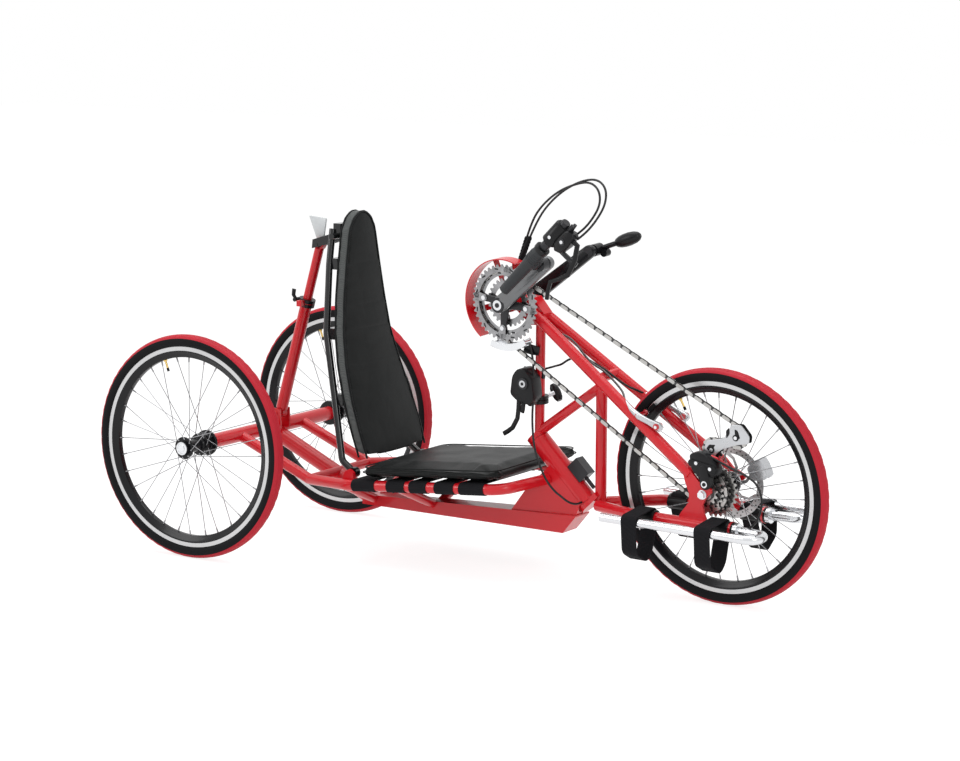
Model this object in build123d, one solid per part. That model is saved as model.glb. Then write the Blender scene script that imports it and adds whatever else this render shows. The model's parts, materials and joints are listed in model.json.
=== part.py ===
from build123d import *
from math import asin, atan2, cos, degrees, hypot, pi, radians, sin, sqrt, tan
import os

# Handcycle, in millimetres: two rear wheels on a cross beam, a low seat slung between two rails,
# and one front wheel that is driven by hand cranks and steered as one unit about a raked head tube.
# X runs forward from the rear axle while the pieces are made, Y to the rider's left, Z up from the
# floor. At the end everything moves so that the origin lies on the floor, midway along and across.

# Wheels
WHEEL_R = 262.0
TREAD_HALF = 5.0
TYRE_HALF = 17.5
TYRE_HEIGHT = 27.5
RIM_HALF = 12.5
RIM_DEPTH = 25.5
BRAKE_TRACK_H = 13.0
BEAD_R = WHEEL_R - TYRE_HEIGHT
RIM_INNER_R = BEAD_R - RIM_DEPTH
SPOKES = 32
SPOKE_T = 2.0
SPOKE_GAP = 0.6
TRACK = 615.6

# Raked steering line. The front tyre's rear edge lies TYRE_AHEAD in front of the line's foot.
HEAD_FOOT_X = 896.0
HEAD_FOOT_Z = 174.0
TYRE_AHEAD = 73.2
RAKE = 45.0
PARK_TURN = -5.484
HEAD_DIA = 48.0
STEERER_DIA = 28.0
RUN_GAP = 0.08
HEAD_TOP_S = -196.0
HEAD_LOW_S = -14.0
LUG_T = 12.0
LUG_GAP = 1.0

# Hand crank and chain drive. The crank turns behind and above the foot of the steering line.
CRANK_BACK = 189.0
CRANK_UP = 455.0
CRANK_X = HEAD_FOOT_X - CRANK_BACK
CRANK_Z = HEAD_FOOT_Z + CRANK_UP
CRANK_LEN = 178.0
CRANK_ANGLE = 37.0
CHAIN_PITCH = 12.7
CHAIN_Y = -42.0
CHAIN_HALF_W = 3.3
CHAIN_HALF_H = 4.2
PLATE_INNER = 1.3
RING_STEP = 7.0
RING_T = 2.0
SPROCKET_STEP = 4.6
SPROCKET_T = 1.8
TOOTH_H = 4.0

# Frame tubes
TUBE = 25.4
SLIM_TUBE = 22.0
BEAM_DIA = 34.0
SPINE_DIA = 38.0

# Seat
RAIL_Y = 170.0
RAIL_REAR = (345.0, 188.0)
RAIL_FRONT = (HEAD_FOOT_X - 134.0, HEAD_FOOT_Z + 50.0)
CUSHION_T = 30.0
BACK_HINGE = (RAIL_REAR[0] - 1, RAIL_REAR[1] + 24)
SWING_GAP = 5.0


def rod(a, b, dia):
    """A round bar from point a to point b."""
    a, b = Vector(*a), Vector(*b)
    foot = (Align.CENTER, Align.CENTER, Align.MIN)
    return Plane(origin=a, z_dir=b - a) * Cylinder(dia / 2, (b - a).length, align=foot)


def cone(a, b, dia_a, dia_b):
    """A tapered round bar from a to b."""
    a, b = Vector(*a), Vector(*b)
    foot = (Align.CENTER, Align.CENTER, Align.MIN)
    return Plane(origin=a, z_dir=b - a) * Cone(dia_a / 2, dia_b / 2, (b - a).length, align=foot)


def bent(points, dia, bend):
    """A bar bent through the points, each corner with the given radius."""
    path = FilletPolyline(*points, radius=bend)
    return sweep(Plane(origin=path @ 0, z_dir=path % 0) * Circle(dia / 2), path=path)


def slab(points, y_low, y_high):
    """A plate whose outline lies in the XZ plane and which spans two Y values."""
    outline = Polyline(*[(x, z) for x, z in points], close=True)
    face = Plane(origin=(0, y_high, 0), x_dir=(1, 0, 0), z_dir=(0, -1, 0)) * make_face(outline)
    return extrude(face, y_high - y_low, dir=(0, -1, 0))


def disc(x, z, radius, y_low, y_high):
    """A round plate across the Y axis."""
    return rod((x, y_low, z), (x, y_high, z), 2 * radius)


def both(shape):
    """A shape and its mirror image on the other side of the machine."""
    return Compound(children=[*shape.solids(), *mirror(shape, about=Plane.XZ).solids()])


def polar(x, z, radius, angle):
    return x + radius * cos(radians(angle)), z + radius * sin(radians(angle))


def about(place, table):
    """Outline points given as distances from a place that they belong to."""
    return [(place[0] + x, place[1] + z) for x, z in table]


def toothed_disc(x, z, teeth, hole_r, y_mid, thick):
    """A sprocket blank with one point per tooth, its pitch radius set by the chain."""
    pitch_r = CHAIN_PITCH / (2 * sin(pi / teeth))
    tip_r = pitch_r + TOOTH_H
    root_r = pitch_r - TOOTH_H
    step = 360 / teeth
    outline = []
    for tooth in range(teeth):
        for part, radius in ((-0.12, tip_r), (0.12, tip_r), (0.5, root_r)):
            outline.append(polar(x, z, radius, (tooth + part) * step))
    blank = slab(outline, y_mid - thick / 2, y_mid + thick / 2)
    return blank - disc(x, z, hole_r, y_mid - thick, y_mid + thick)


def arc_strip(x, z, r_low, r_high, start, end, y_low, y_high):
    """A curved strip about the point x, z from one angle to another."""
    mid = (start + end) / 2
    outer = ThreePointArc(*[polar(x, z, r_high, a) for a in (start, mid, end)])
    inner = ThreePointArc(*[polar(x, z, r_low, a) for a in (end, mid, start)])
    outline = [outer, Line(outer @ 1, inner @ 0), inner, Line(inner @ 1, outer @ 0)]
    face = Plane(origin=(0, y_high, 0), x_dir=(1, 0, 0), z_dir=(0, -1, 0)) * make_face(outline)
    return extrude(face, y_high - y_low, dir=(0, -1, 0))


parts = {}

# Front axle height: the turned wheel leans a little, and its tread still stands on the floor.
ahead = TYRE_AHEAD + WHEEL_R
AXLE_X = HEAD_FOOT_X + ahead
lean = asin(sin(radians(RAKE)) * abs(sin(radians(PARK_TURN))))
parked_z = WHEEL_R * cos(lean) + TREAD_HALF * sin(lean)
turn_cos = cos(radians(PARK_TURN))
AXLE_Z = HEAD_FOOT_Z + (2 * (parked_z - HEAD_FOOT_Z) + ahead * (1 - turn_cos)) / (1 + turn_cos)
hub_at = (AXLE_X, AXLE_Z)
centre = (CRANK_X, CRANK_Z)

# The wheels' shared section and spokes. Each wheel is made about the Y axis at the origin.
TYRE_SECTION = (
    (RIM_HALF, BEAD_R),
    (TYRE_HALF, 0.6 * BEAD_R + 0.4 * WHEEL_R),
    (0.74 * TYRE_HALF, WHEEL_R - 5.5),
    (TREAD_HALF, WHEEL_R),
)
RIM_SECTION = ((RIM_HALF, BEAD_R), (RIM_HALF, BEAD_R - BRAKE_TRACK_H), (0.5 * RIM_HALF, RIM_INNER_R))


def ring_of(section):
    """A ring turned from one half of its section, given as distance from the mid plane and radius."""
    half = [(y, r) for y, r in section]
    other = [(-y, r) for y, r in reversed(section)]
    face = Plane.YZ * make_face(Polyline(*half, *other, close=True))
    return revolve(face, Axis.Y)


def spokes(flange_r, flange_low, flange_high):
    """Crossed spokes, half on each flange, as slim square bars from flange to rim."""
    bars = []
    per_side = SPOKES // 2
    for side, y_flange in enumerate((flange_low, flange_high)):
        for index in range(per_side):
            lean = 52 if index % 2 else -52
            at_rim = (index + 0.5 * side) * 360 / per_side
            at_hub = at_rim + lean
            shift = 1.6 if index % 2 else -1.6
            hub_end = polar(0, 0, flange_r, at_hub)
            rim_end = polar(0, 0, RIM_INNER_R - SPOKE_GAP, at_rim)
            start = Vector(hub_end[0], y_flange + shift, hub_end[1])
            end = Vector(rim_end[0], (2 - 4 * (side == 0)) + shift * 0.2, rim_end[1])
            foot = (Align.CENTER, Align.CENTER, Align.MIN)
            bars.append(Plane(origin=start, z_dir=end - start) * Box(
                SPOKE_T, SPOKE_T, (end - start).length, align=foot))
    return bars


def turned(profile):
    """A solid turned about the Y axis from (y, radius) points, closed along the axis."""
    points = [(profile[0][0], 0), *profile, (profile[-1][0], 0)]
    return revolve(Plane.YZ * make_face(Polyline(*points, close=True)), Axis.Y)


def at(shape, x, y, z):
    return Pos(x, y, z) * shape


# Rear wheels. The hub's long inner end carries the seal flange, its outer end the cap.
REAR_HUB = (
    (-29, 17), (-25, 17), (-25, 24), (-21, 24), (-21, 15), (32, 15), (32, 24), (36, 24), (36, 17), (58, 17),
    (58, 29), (64, 29),
)
REAR_PIN = 15.0
rear_inner_end = REAR_HUB[-1][0]
rear_hub = turned(REAR_HUB) - rod((0, -26, 0), (0, rear_inner_end + 1, 0), REAR_PIN + 2 * RUN_GAP)
rear_hub = rear_hub + spokes(21.5, -23, 34)
rear_hub = rear_hub + turned(((-34, 12), (-33, 17), (-29, 19)))
rear_tyre = ring_of(TYRE_SECTION)
rear_rim = ring_of(RIM_SECTION)
half_track = TRACK / 2
for side, name in ((-1, "right"), (1, "left")):
    pieces = {"tyre": rear_tyre, "rim": rear_rim, "hub": rear_hub}
    for piece, shape in pieces.items():
        made = shape if side < 0 else mirror(shape, about=Plane.XZ)
        parts[f"rear_{piece}_{name}"] = at(made, 0, side * half_track, WHEEL_R)

# Rear frame: the cross beam between the hubs, the axle pins, the spine and two outer stays.
beam_end = half_track - rear_inner_end - LUG_GAP
beam = rod((0, -beam_end, WHEEL_R), (0, beam_end, WHEEL_R), BEAM_DIA)
pin_end = half_track + 25
beam = beam + rod((0, -pin_end, WHEEL_R), (0, pin_end, WHEEL_R), REAR_PIN)

# The boom: a box beam that deepens and widens to the front, where its end is cut at a slant.
BOOM_REAR = (285.0, 111.0, 134.0, 20.0)
BOOM_FRONT = (HEAD_FOOT_X - 46.0, 111.0, 154.0, 32.0)
BOOM_SLANT = 22.0
boom_tip = BOOM_FRONT[0] + BOOM_SLANT
side_view = [(BOOM_REAR[0], BOOM_REAR[1]), (boom_tip, BOOM_FRONT[1]), (boom_tip, BOOM_FRONT[2]),
             (BOOM_REAR[0], BOOM_REAR[2])]
plan_view = [(BOOM_REAR[0], -BOOM_REAR[3]), (boom_tip, -BOOM_FRONT[3]), (boom_tip, BOOM_FRONT[3]),
             (BOOM_REAR[0], BOOM_REAR[3])]
plan_block = extrude(make_face(Polyline(*plan_view, close=True)), 2 * BOOM_FRONT[2])
boom = slab(side_view, -BOOM_FRONT[3], BOOM_FRONT[3]) & plan_block
slant_cut = slab(
    [(BOOM_FRONT[0] - 12, BOOM_FRONT[1] - 2), (BOOM_FRONT[0] + BOOM_SLANT + 4, BOOM_FRONT[2] + 2),
     (BOOM_FRONT[0] + 60, BOOM_FRONT[2] + 2), (BOOM_FRONT[0] + 60, BOOM_FRONT[1] - 2)], -60, 60)
boom = boom - slant_cut

# The head tube lies on the steering line. s runs along the line from its foot point, up is negative.
LINE = Vector(cos(radians(RAKE)), 0, -sin(radians(RAKE)))
FOOT = Vector(HEAD_FOOT_X, 0, HEAD_FOOT_Z)
OUT = Vector(sin(radians(RAKE)), 0, cos(radians(RAKE)))


def on_line(s, out=0.0, y=0.0):
    p = FOOT + LINE * s + OUT * out
    return (p.X, y, p.Z)


head_solid = rod(on_line(HEAD_TOP_S), on_line(HEAD_LOW_S), HEAD_DIA)
head_tube = head_solid - rod(on_line(HEAD_TOP_S - 1), on_line(HEAD_LOW_S + 1), STEERER_DIA + 2 * RUN_GAP)
spine_low = (292.0, 0.0, 128.0)
spine = rod((0, 0, WHEEL_R), spine_low, SPINE_DIA) - beam - boom
REAR_CROSS = (205.0, 178.0)
STAY_Y = 122.0
stay = rod((0, -STAY_Y, WHEEL_R), (REAR_CROSS[0], -STAY_Y, REAR_CROSS[1]), TUBE) - beam
rail_tail = (REAR_CROSS[0], -STAY_Y, REAR_CROSS[1])
RAIL_JOIN = (HEAD_FOOT_X - 104, -24.0, HEAD_FOOT_Z + 54)
RAIL_BEND = 45.0
rail_rear, rail_front = (RAIL_REAR[0], -RAIL_Y, RAIL_REAR[1]), (RAIL_FRONT[0], -RAIL_Y, RAIL_FRONT[1])
rail = bent([rail_tail, rail_rear, rail_front, RAIL_JOIN], TUBE, RAIL_BEND)
rail = rail - stay
gusset_top, gusset_low = on_line(-130, -5.7), on_line(-17, -5.7)
gusset = slab([
    (HEAD_FOOT_X - 196, BOOM_FRONT[2] - 6), (HEAD_FOOT_X - 161, BOOM_FRONT[2] + 42),
    (gusset_top[0], gusset_top[2]), (gusset_low[0], gusset_low[2]), (HEAD_FOOT_X - 28, BOOM_FRONT[2] - 4)],
    -HEAD_DIA / 2, HEAD_DIA / 2)
lug_room = rod(on_line(HEAD_TOP_S - 40), on_line(HEAD_TOP_S), HEAD_DIA + 2 * SWING_GAP)
lug_room = lug_room + rod(on_line(HEAD_LOW_S), on_line(HEAD_LOW_S + 40), HEAD_DIA + 2 * SWING_GAP)
gusset = gusset - boom - head_solid - lug_room
rail = rail - gusset - head_solid
cross_tube = rod((REAR_CROSS[0], -STAY_Y, REAR_CROSS[1]), (REAR_CROSS[0], STAY_Y, REAR_CROSS[1]), SLIM_TUBE)
cross_tube = cross_tube - both(stay) - both(rail) - spine
parts["boom"] = boom
parts["head_tube"] = head_tube + gusset
parts["spine"] = spine
parts["rear_stays"] = both(stay)
parts["seat_rails"] = both(rail)

# Steering damper: a block on the head tube and a short rod towards the post.
DAMPER_S = -78.0
damper = Plane(origin=on_line(DAMPER_S, HEAD_DIA / 2 + 13), z_dir=OUT, x_dir=LINE) * Box(46, 30, 32)
damper = damper - head_solid
damper = damper + rod(on_line(DAMPER_S + 10, HEAD_DIA / 2 + 10), on_line(DAMPER_S + 52, HEAD_DIA / 2 + 10), 9)
parts["steering_damper"] = damper - head_solid

# Seat sling: bands of webbing laid over the rails and wrapped round them. Each row of the table is
# where a band starts and ends ahead of the rails' rear bend, on rails 417 long between their bends.
BANDS = ((21, 84), (117, 166), (179, 225), (247, 298), (312, 377))
band_spread = (RAIL_FRONT[0] - RAIL_REAR[0]) / 417
rail_slope = degrees(atan2(RAIL_FRONT[1] - RAIL_REAR[1], RAIL_FRONT[0] - RAIL_REAR[0]))
rail_pitch = (RAIL_FRONT[1] - RAIL_REAR[1]) / (RAIL_FRONT[0] - RAIL_REAR[0])
BAND_T = 3.0


def rail_z(x):
    return RAIL_REAR[1] + (x - RAIL_REAR[0]) * rail_pitch


sling = []
for start, end in [[RAIL_REAR[0] + edge * band_spread for edge in band] for band in BANDS]:
    sheet_z = TUBE / 2 + BAND_T / 2 + 0.3
    mid = (start + end) / 2
    length = (end - start) / cos(radians(rail_slope))
    place = Pos(mid, 0, rail_z(mid)) * Rot(0, -rail_slope, 0)
    sheet = place * Pos(0, 0, sheet_z) * Box(length, 2 * RAIL_Y, BAND_T)
    sleeves = []
    for side in (-1, 1):
        wrap = Pos(0, side * RAIL_Y, 0) * Rot(0, 90, 0) * (
            Cylinder(TUBE / 2 + BAND_T + 0.3, length) - Cylinder(TUBE / 2 + 0.3, length + 2))
        sleeves.append(place * wrap)
    sling.extend((sheet + sleeves).solids())
parts["seat_sling"] = Compound(children=sling)
brace_x = RAIL_REAR[0] + 139 * band_spread
brace = rod((brace_x, -RAIL_Y + 2, rail_z(brace_x) - 2), (brace_x, -18, BOOM_REAR[2]), SLIM_TUBE)
brace = brace - rail - boom - parts["seat_sling"]
rear_x = RAIL_REAR[0] - 27
rear_brace = rod((rear_x, -RAIL_Y + 20, RAIL_REAR[1] - 4), (rear_x, -14, BOOM_REAR[2] - 8), SLIM_TUBE)
rear_brace = rear_brace - rail - boom - parts["seat_sling"]
braces = [*both(brace).solids(), *both(rear_brace).solids()]
parts["cross_tubes"] = Compound(children=[*braces, *cross_tube.solids()])

# Hinge lugs for the backrest stand on the rails.
HINGE_PIN = 8.0
hinge_x, hinge_z = BACK_HINGE
HINGE_LUG = ((-20, -28), (-12, 4), (0, 11), (12, 4), (16, -26))
LUG_Y = RAIL_Y - 18
lug = slab(about(BACK_HINGE, HINGE_LUG), -LUG_Y - 10, -LUG_Y) - rail
lug = lug + disc(hinge_x, hinge_z, HINGE_PIN / 2, -LUG_Y - 4, -LUG_Y + 26)
parts["hinge_lugs"] = both(lug - parts["seat_sling"])

# Seat cushion: a thin padded board on the sling, rising a little to the front.
CUSHION = (RAIL_REAR[0] + 43, RAIL_FRONT[0] + 2, RAIL_Y + 14)
cushion_mid = (CUSHION[0] + CUSHION[1]) / 2
cushion_z = TUBE / 2 + BAND_T + 0.6 + CUSHION_T / 2
cushion = Pos(cushion_mid, 0, rail_z(cushion_mid)) * Rot(0, -rail_slope, 0) * Pos(0, 0, cushion_z) * Box(
    CUSHION[1] - CUSHION[0], 2 * CUSHION[2], CUSHION_T)
cushion = fillet(cushion.edges().filter_by(lambda e: e.length < CUSHION_T + 1), 30)
parts["seat_cushion"] = cushion

# Front unit. Tubes are cut back to the ones they are welded to, so they meet face to face.
housing = rod((CRANK_X, -33, CRANK_Z), (CRANK_X, 33, CRANK_Z), 46)
SPINDLE_DIA = 24.0
NECK = ((0, 14), (55, 11), (83, -23), (75, -49), (45, -51), (0, -14))
STALK = ((-6, 0), (10, 0), (25, 87), (1, 87))
crank_housing = housing + slab(about(centre, NECK), -16, 16) + slab(about(centre, STALK), -18, 18)
crank_housing = crank_housing - disc(CRANK_X, CRANK_Z, SPINDLE_DIA / 2 + RUN_GAP, -40, 40)
MAST_TOP = (CRANK_X + 62.5, 0.0, CRANK_Z - 48)
MAST_FOOT = (HEAD_FOOT_X - 138, 0.0, HEAD_FOOT_Z + 148)
BLADE_TOP = (CRANK_X + 41, 14.0, CRANK_Z - 13)
BLADE_END = (AXLE_X - 33.2, 66.0, AXLE_Z + 38.3)
POST_LOW = (HEAD_FOOT_X + 24.5, 0.0, HEAD_FOOT_Z + 12)
POST_TOP = (HEAD_FOOT_X + 34, 0.0, HEAD_FOOT_Z + 288)
BRIDGE = (HEAD_FOOT_X + 51, 37.0, HEAD_FOOT_Z + 306)
DROP_Y = 68.0
DROP_T = 6.0
column = rod(on_line(HEAD_TOP_S - LUG_GAP - LUG_T), on_line(HEAD_LOW_S + LUG_GAP + LUG_T), STEERER_DIA)
column = column + rod(on_line(HEAD_TOP_S - LUG_GAP - LUG_T), on_line(HEAD_TOP_S - LUG_GAP), HEAD_DIA)
column = column + rod(on_line(HEAD_LOW_S + LUG_GAP), on_line(HEAD_LOW_S + LUG_GAP + LUG_T), HEAD_DIA)
low_lug = Plane(origin=on_line(HEAD_LOW_S + LUG_GAP + LUG_T / 2, 20), z_dir=LINE, x_dir=OUT)
column = column + low_lug * Box(44, 40, LUG_T)
head_room = rod(on_line(HEAD_TOP_S), on_line(HEAD_LOW_S), HEAD_DIA + 2 * SWING_GAP)
head_room = head_room + rod(on_line(HEAD_TOP_S - LUG_GAP), on_line(HEAD_TOP_S), HEAD_DIA + 2 * SWING_GAP)
mast = rod(MAST_FOOT, MAST_TOP, SLIM_TUBE) - crank_housing - column - head_room
blade_path = [(BLADE_TOP[0], -BLADE_TOP[1], BLADE_TOP[2]), (BLADE_END[0], -BLADE_END[1], BLADE_END[2])]
blade = rod(*blade_path, TUBE) - crank_housing
blades = both(blade)
post = rod(POST_LOW, POST_TOP, TUBE) - column
BRIDGE_BEND, FOOT_RAIL_BEND = 60.0, 60.0
bridge_x, bridge_y, bridge_z = BRIDGE
bridge_line = [(bridge_x, -bridge_y, bridge_z), (bridge_x - 14, 0, bridge_z - 6), BRIDGE]
bridge = bent(bridge_line, SLIM_TUBE, BRIDGE_BEND)
bridge = bridge + post - both(rod(*blade_path, TUBE + 0.4))
diagonal_low = (MAST_FOOT[0] + 2, 0, MAST_FOOT[2] + 9)
diagonal_high = (POST_TOP[0] - 3, 0, POST_TOP[2] - 10)
diagonal = rod(diagonal_low, diagonal_high, SLIM_TUBE) - mast - column - bridge - head_room
FOOT_RAIL_DROP = 69.7
FOOT_RAIL_Z = AXLE_Z - FOOT_RAIL_DROP
RAIL_SPREAD = (AXLE_X - 186.2, -68.0, FOOT_RAIL_Z)
FOOT_RAIL_END = (AXLE_X + 80.8, -70.0, FOOT_RAIL_Z)
rail_root = (HEAD_FOOT_X + 30, -19, HEAD_FOOT_Z + 10)
foot_rail = bent([rail_root, RAIL_SPREAD, FOOT_RAIL_END], TUBE, FOOT_RAIL_BEND)
foot_rail = foot_rail - column - bridge
foot_rails = both(foot_rail)

# Dropouts: scalloped plates between blade end and lower rail, slotted for the axle.
DROPOUT = (
    (-53.2, 59.3), (-27.2, 46.3), (-9.2, 27.3), (4.8, 21.3), (20.8, 13.3), (20.8, 5.3), (6.8, -8.7),
    (-1.2, -24.7), (1.8, -40.7), (8.8, -57.7), (8.8, -70.7), (-69.2, -70.7), (-55.2, -46.7), (-35.2, -22.7),
    (-34.2, -0.7), (-43.2, 21.3),
)
FRONT_AXLE_DIA = 9.4
dropout = slab(about(hub_at, DROPOUT), -DROP_Y - DROP_T, -DROP_Y)
dropout = dropout - disc(*hub_at, FRONT_AXLE_DIA / 2, -90, -50) - blade - foot_rail
dropouts = both(dropout)
parts["crank_housing"] = crank_housing
parts["steering_column"] = column
parts["mast"] = mast
parts["fork_blades"] = blades
parts["fork_bridge"] = bridge
parts["diagonal"] = diagonal
parts["foot_rails"] = foot_rails
parts["dropouts"] = dropouts
axle = rod((AXLE_X, -DROP_Y - DROP_T, AXLE_Z), (AXLE_X, DROP_Y + DROP_T, AXLE_Z), FRONT_AXLE_DIA)
nut = rod((AXLE_X, -DROP_Y - DROP_T, AXLE_Z), (AXLE_X, -DROP_Y - DROP_T - 9, AXLE_Z), 17)
parts["front_axle"] = axle + both(nut)

# Front wheel: hub with spokes, cassette on the right, brake rotor on the left.
FRONT_HUB = (
    (-66, 9), (-24, 9), (-24, 16), (-22, 16), (-22, 28), (-18, 28), (-18, 15), (26, 15), (26, 26), (30, 26),
    (30, 20), (44, 20), (44, 9), (66, 9),
)
front_hub = turned(FRONT_HUB) - rod((0, -70, 0), (0, 70, 0), FRONT_AXLE_DIA + 2 * RUN_GAP)
front_hub = front_hub + spokes(23.5, -20, 28)
parts["front_hub"] = at(front_hub, AXLE_X, 0, AXLE_Z)
parts["front_tyre"] = at(rear_tyre, AXLE_X, 0, AXLE_Z)
parts["front_rim"] = at(rear_rim, AXLE_X, 0, AXLE_Z)
SPROCKETS = (28, 24, 22, 20, 17, 14, 12)
CHAIN_SPROCKET = 20
first_y = CHAIN_Y + SPROCKETS.index(CHAIN_SPROCKET) * SPROCKET_STEP
cassette = disc(*hub_at, 18, -62, -24.5) - disc(*hub_at, 9, -66, -20)
for index, teeth in enumerate(SPROCKETS):
    y_mid = first_y - index * SPROCKET_STEP
    cassette = cassette + toothed_disc(AXLE_X, AXLE_Z, teeth, 12, y_mid, SPROCKET_T)
parts["cassette"] = cassette
ROTOR_R = 80.0
ROTOR_Y = 47.0
ROTOR_T = 2.0
rotor_low, rotor_high = ROTOR_Y - ROTOR_T / 2, ROTOR_Y + ROTOR_T / 2
rotor = disc(*hub_at, ROTOR_R, rotor_low, rotor_high)
rotor = rotor - disc(*hub_at, ROTOR_R - 15, rotor_low - 4, rotor_high + 4)
rotor = rotor + (disc(*hub_at, 24, ROTOR_Y - 3, rotor_high) - disc(*hub_at, 9, ROTOR_Y - 7, rotor_high + 4))
for arm in range(6):
    inner = polar(AXLE_X, AXLE_Z, 20, arm * 60)
    outer = polar(AXLE_X, AXLE_Z, ROTOR_R - 14, arm * 60 + 28)
    along = Vector(outer[0] - inner[0], 0, outer[1] - inner[1])
    foot = (Align.CENTER, Align.CENTER, Align.MIN)
    rotor = rotor + Plane(origin=(inner[0], ROTOR_Y, inner[1]), z_dir=along, x_dir=(0, 1, 0)) * Box(
        ROTOR_T, 7, along.length, align=foot)
parts["brake_rotor"] = rotor

# Cranks: spindle, toothed rings on a four-armed spider, and two forged arms side by side in step.
RINGS = (42, 36, 26)
CHAIN_RING = 36
ring_y = {teeth: CHAIN_Y - RING_STEP + index * RING_STEP for index, teeth in enumerate(RINGS)}
spider_low, spider_high = ring_y[42] + RING_T / 2, ring_y[36] - RING_T / 2
rings = toothed_disc(CRANK_X, CRANK_Z, 42, 56, ring_y[42], RING_T)
rings = rings + toothed_disc(CRANK_X, CRANK_Z, 36, 52, ring_y[36], RING_T)
rings = rings + toothed_disc(CRANK_X, CRANK_Z, 26, 29, ring_y[26], RING_T)
spider = disc(CRANK_X, CRANK_Z, 22, -60, spider_high) - disc(CRANK_X, CRANK_Z, SPINDLE_DIA / 2, -70, 0)
for arm in range(4):
    angle = CRANK_ANGLE + 45 + arm * 90
    reach = polar(CRANK_X, CRANK_Z, 62, angle)
    side = polar(0, 0, 9, angle + 90)
    root = polar(0, 0, 16, angle + 90)
    outline = [
        (CRANK_X + root[0], CRANK_Z + root[1]), (reach[0] + side[0], reach[1] + side[1]),
        (reach[0] - side[0], reach[1] - side[1]), (CRANK_X - root[0], CRANK_Z - root[1]),
    ]
    spider = spider + slab(outline, spider_low, spider_high)
    post_at = polar(CRANK_X, CRANK_Z, 34, angle)
    spider = spider + disc(*post_at, 4, spider_high, ring_y[26] - RING_T / 2)
spider = spider - disc(CRANK_X, CRANK_Z, SPINDLE_DIA / 2, -70, 0)
parts["chainrings"] = rings + spider
EYE = polar(CRANK_X, CRANK_Z, CRANK_LEN, CRANK_ANGLE)
ARM_ROOT_Y, ARM_TIP_Y, ARM_T = 60.0, 75.0, 15.0


def arm_section(x, z, y, width, thick):
    along = (cos(radians(CRANK_ANGLE)), 0, sin(radians(CRANK_ANGLE)))
    return Plane(origin=(x, y, z), x_dir=(0, 1, 0), z_dir=along) * RectangleRounded(thick, width, 3)


def crank_arm(sign):
    mid = ARM_T / 2
    root_at = (CRANK_X, CRANK_Z, sign * (ARM_ROOT_Y + mid))
    tip_at = (EYE[0], EYE[1], sign * (ARM_TIP_Y + mid))
    arm = loft([arm_section(*root_at, 34, ARM_T), arm_section(*tip_at, 30, ARM_T)])
    arm = arm + disc(CRANK_X, CRANK_Z, 19, *sorted((sign * ARM_ROOT_Y, sign * (ARM_ROOT_Y + ARM_T))))
    arm = arm + disc(*EYE, 15, *sorted((sign * ARM_TIP_Y, sign * (ARM_TIP_Y + ARM_T))))
    arm = arm - disc(CRANK_X, CRANK_Z, SPINDLE_DIA / 2, -100, 100)
    pin = disc(*EYE, PIN_R, *sorted((sign * (ARM_TIP_Y + ARM_T - 4), sign * HANDLE_PIN_END)))
    return arm + pin


PIN_R = 6.0
HANDLE_GAP = 6.0
HANDLE_PIN_END = ARM_TIP_Y + ARM_T + HANDLE_GAP + 14
parts["crank_arm_right"] = crank_arm(-1)
spindle = rod((CRANK_X, -74, CRANK_Z), (CRANK_X, 74, CRANK_Z), SPINDLE_DIA)
parts["crank_arm_left"] = crank_arm(1) + spindle

# Right handle: a bar beside the pivot with a tapered grip on its rear half and the controls in front.
GRIP_Y = 128.0
BAR_LOW = (EYE[0] - 87.2, EYE[1] - 61.1)
BAR_ANGLE = 43.5
hub_low = ARM_TIP_Y + ARM_T + HANDLE_GAP


def along_bar(s, out=0.0):
    c, w = cos(radians(BAR_ANGLE)), sin(radians(BAR_ANGLE))
    return BAR_LOW[0] + s * c + out * w, BAR_LOW[1] + s * w - out * c


def bar_point(s, out=0.0, y=-GRIP_Y):
    x, z = along_bar(s, out)
    return (x, y, z)


HUB_DEPTH = 18.0
bore = disc(*EYE, PIN_R + RUN_GAP, -hub_low - HUB_DEPTH + 3, -hub_low + 1)
bracket = rod(bar_point(6), bar_point(150), 16) + rod(bar_point(150), bar_point(236), 22)
bracket = bracket + disc(*EYE, 14, -hub_low - HUB_DEPTH, -hub_low)
bracket = bracket + Pos(*bar_point(105, 7, -hub_low - 21)) * Rot(0, -BAR_ANGLE, 0) * Box(28, 22, 26)
bracket = bracket - bore
grip = cone(bar_point(0), bar_point(96), 24, 30) + cone(bar_point(96), bar_point(150), 30, 34)
parts["handle_bracket_right"] = bracket
parts["handle_grip_right"] = grip - bracket
control = rod(bar_point(172), bar_point(226), 36)
control = control + Pos(*bar_point(206, 26)) * Rot(0, -BAR_ANGLE, 0) * Box(54, 30, 34)
LEVER = ((92.8, 66.9), (112.8, 53.9), (86.8, -12.1), (40.8, -30.1), (29.8, -70.1))
lever = bent([(x, -GRIP_Y, z) for x, z in about(EYE, LEVER)], 9, (8, 20, 14))
parts["handle_controls_right"] = control + lever - bracket - grip

# Left handle: a slim bar from the pivot to an oval palm grip, turned forward.
LEFT_ANGLE = 19.3


def left_point(s, y=118.0):
    x, z = polar(*EYE, s, LEFT_ANGLE)
    return (x, y, z)


left_boss = disc(*EYE, 14, hub_low, hub_low + 28) - disc(*EYE, PIN_R + RUN_GAP, hub_low - 1, hub_low + 16)
left_bar = rod(left_point(12), left_point(64), 12)
knob = disc(EYE[0] + 20, EYE[1] - 6, 9, 108, 126)
left_grip = cone(left_point(52), left_point(80), 20, 30) + cone(left_point(80), left_point(118), 30, 22)
left_bracket = left_boss + left_bar + knob - disc(*EYE, PIN_R + RUN_GAP, hub_low - 1, hub_low + 16)
parts["handle_bracket_left"] = left_bracket
parts["handle_grip_left"] = left_grip - left_bracket

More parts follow.
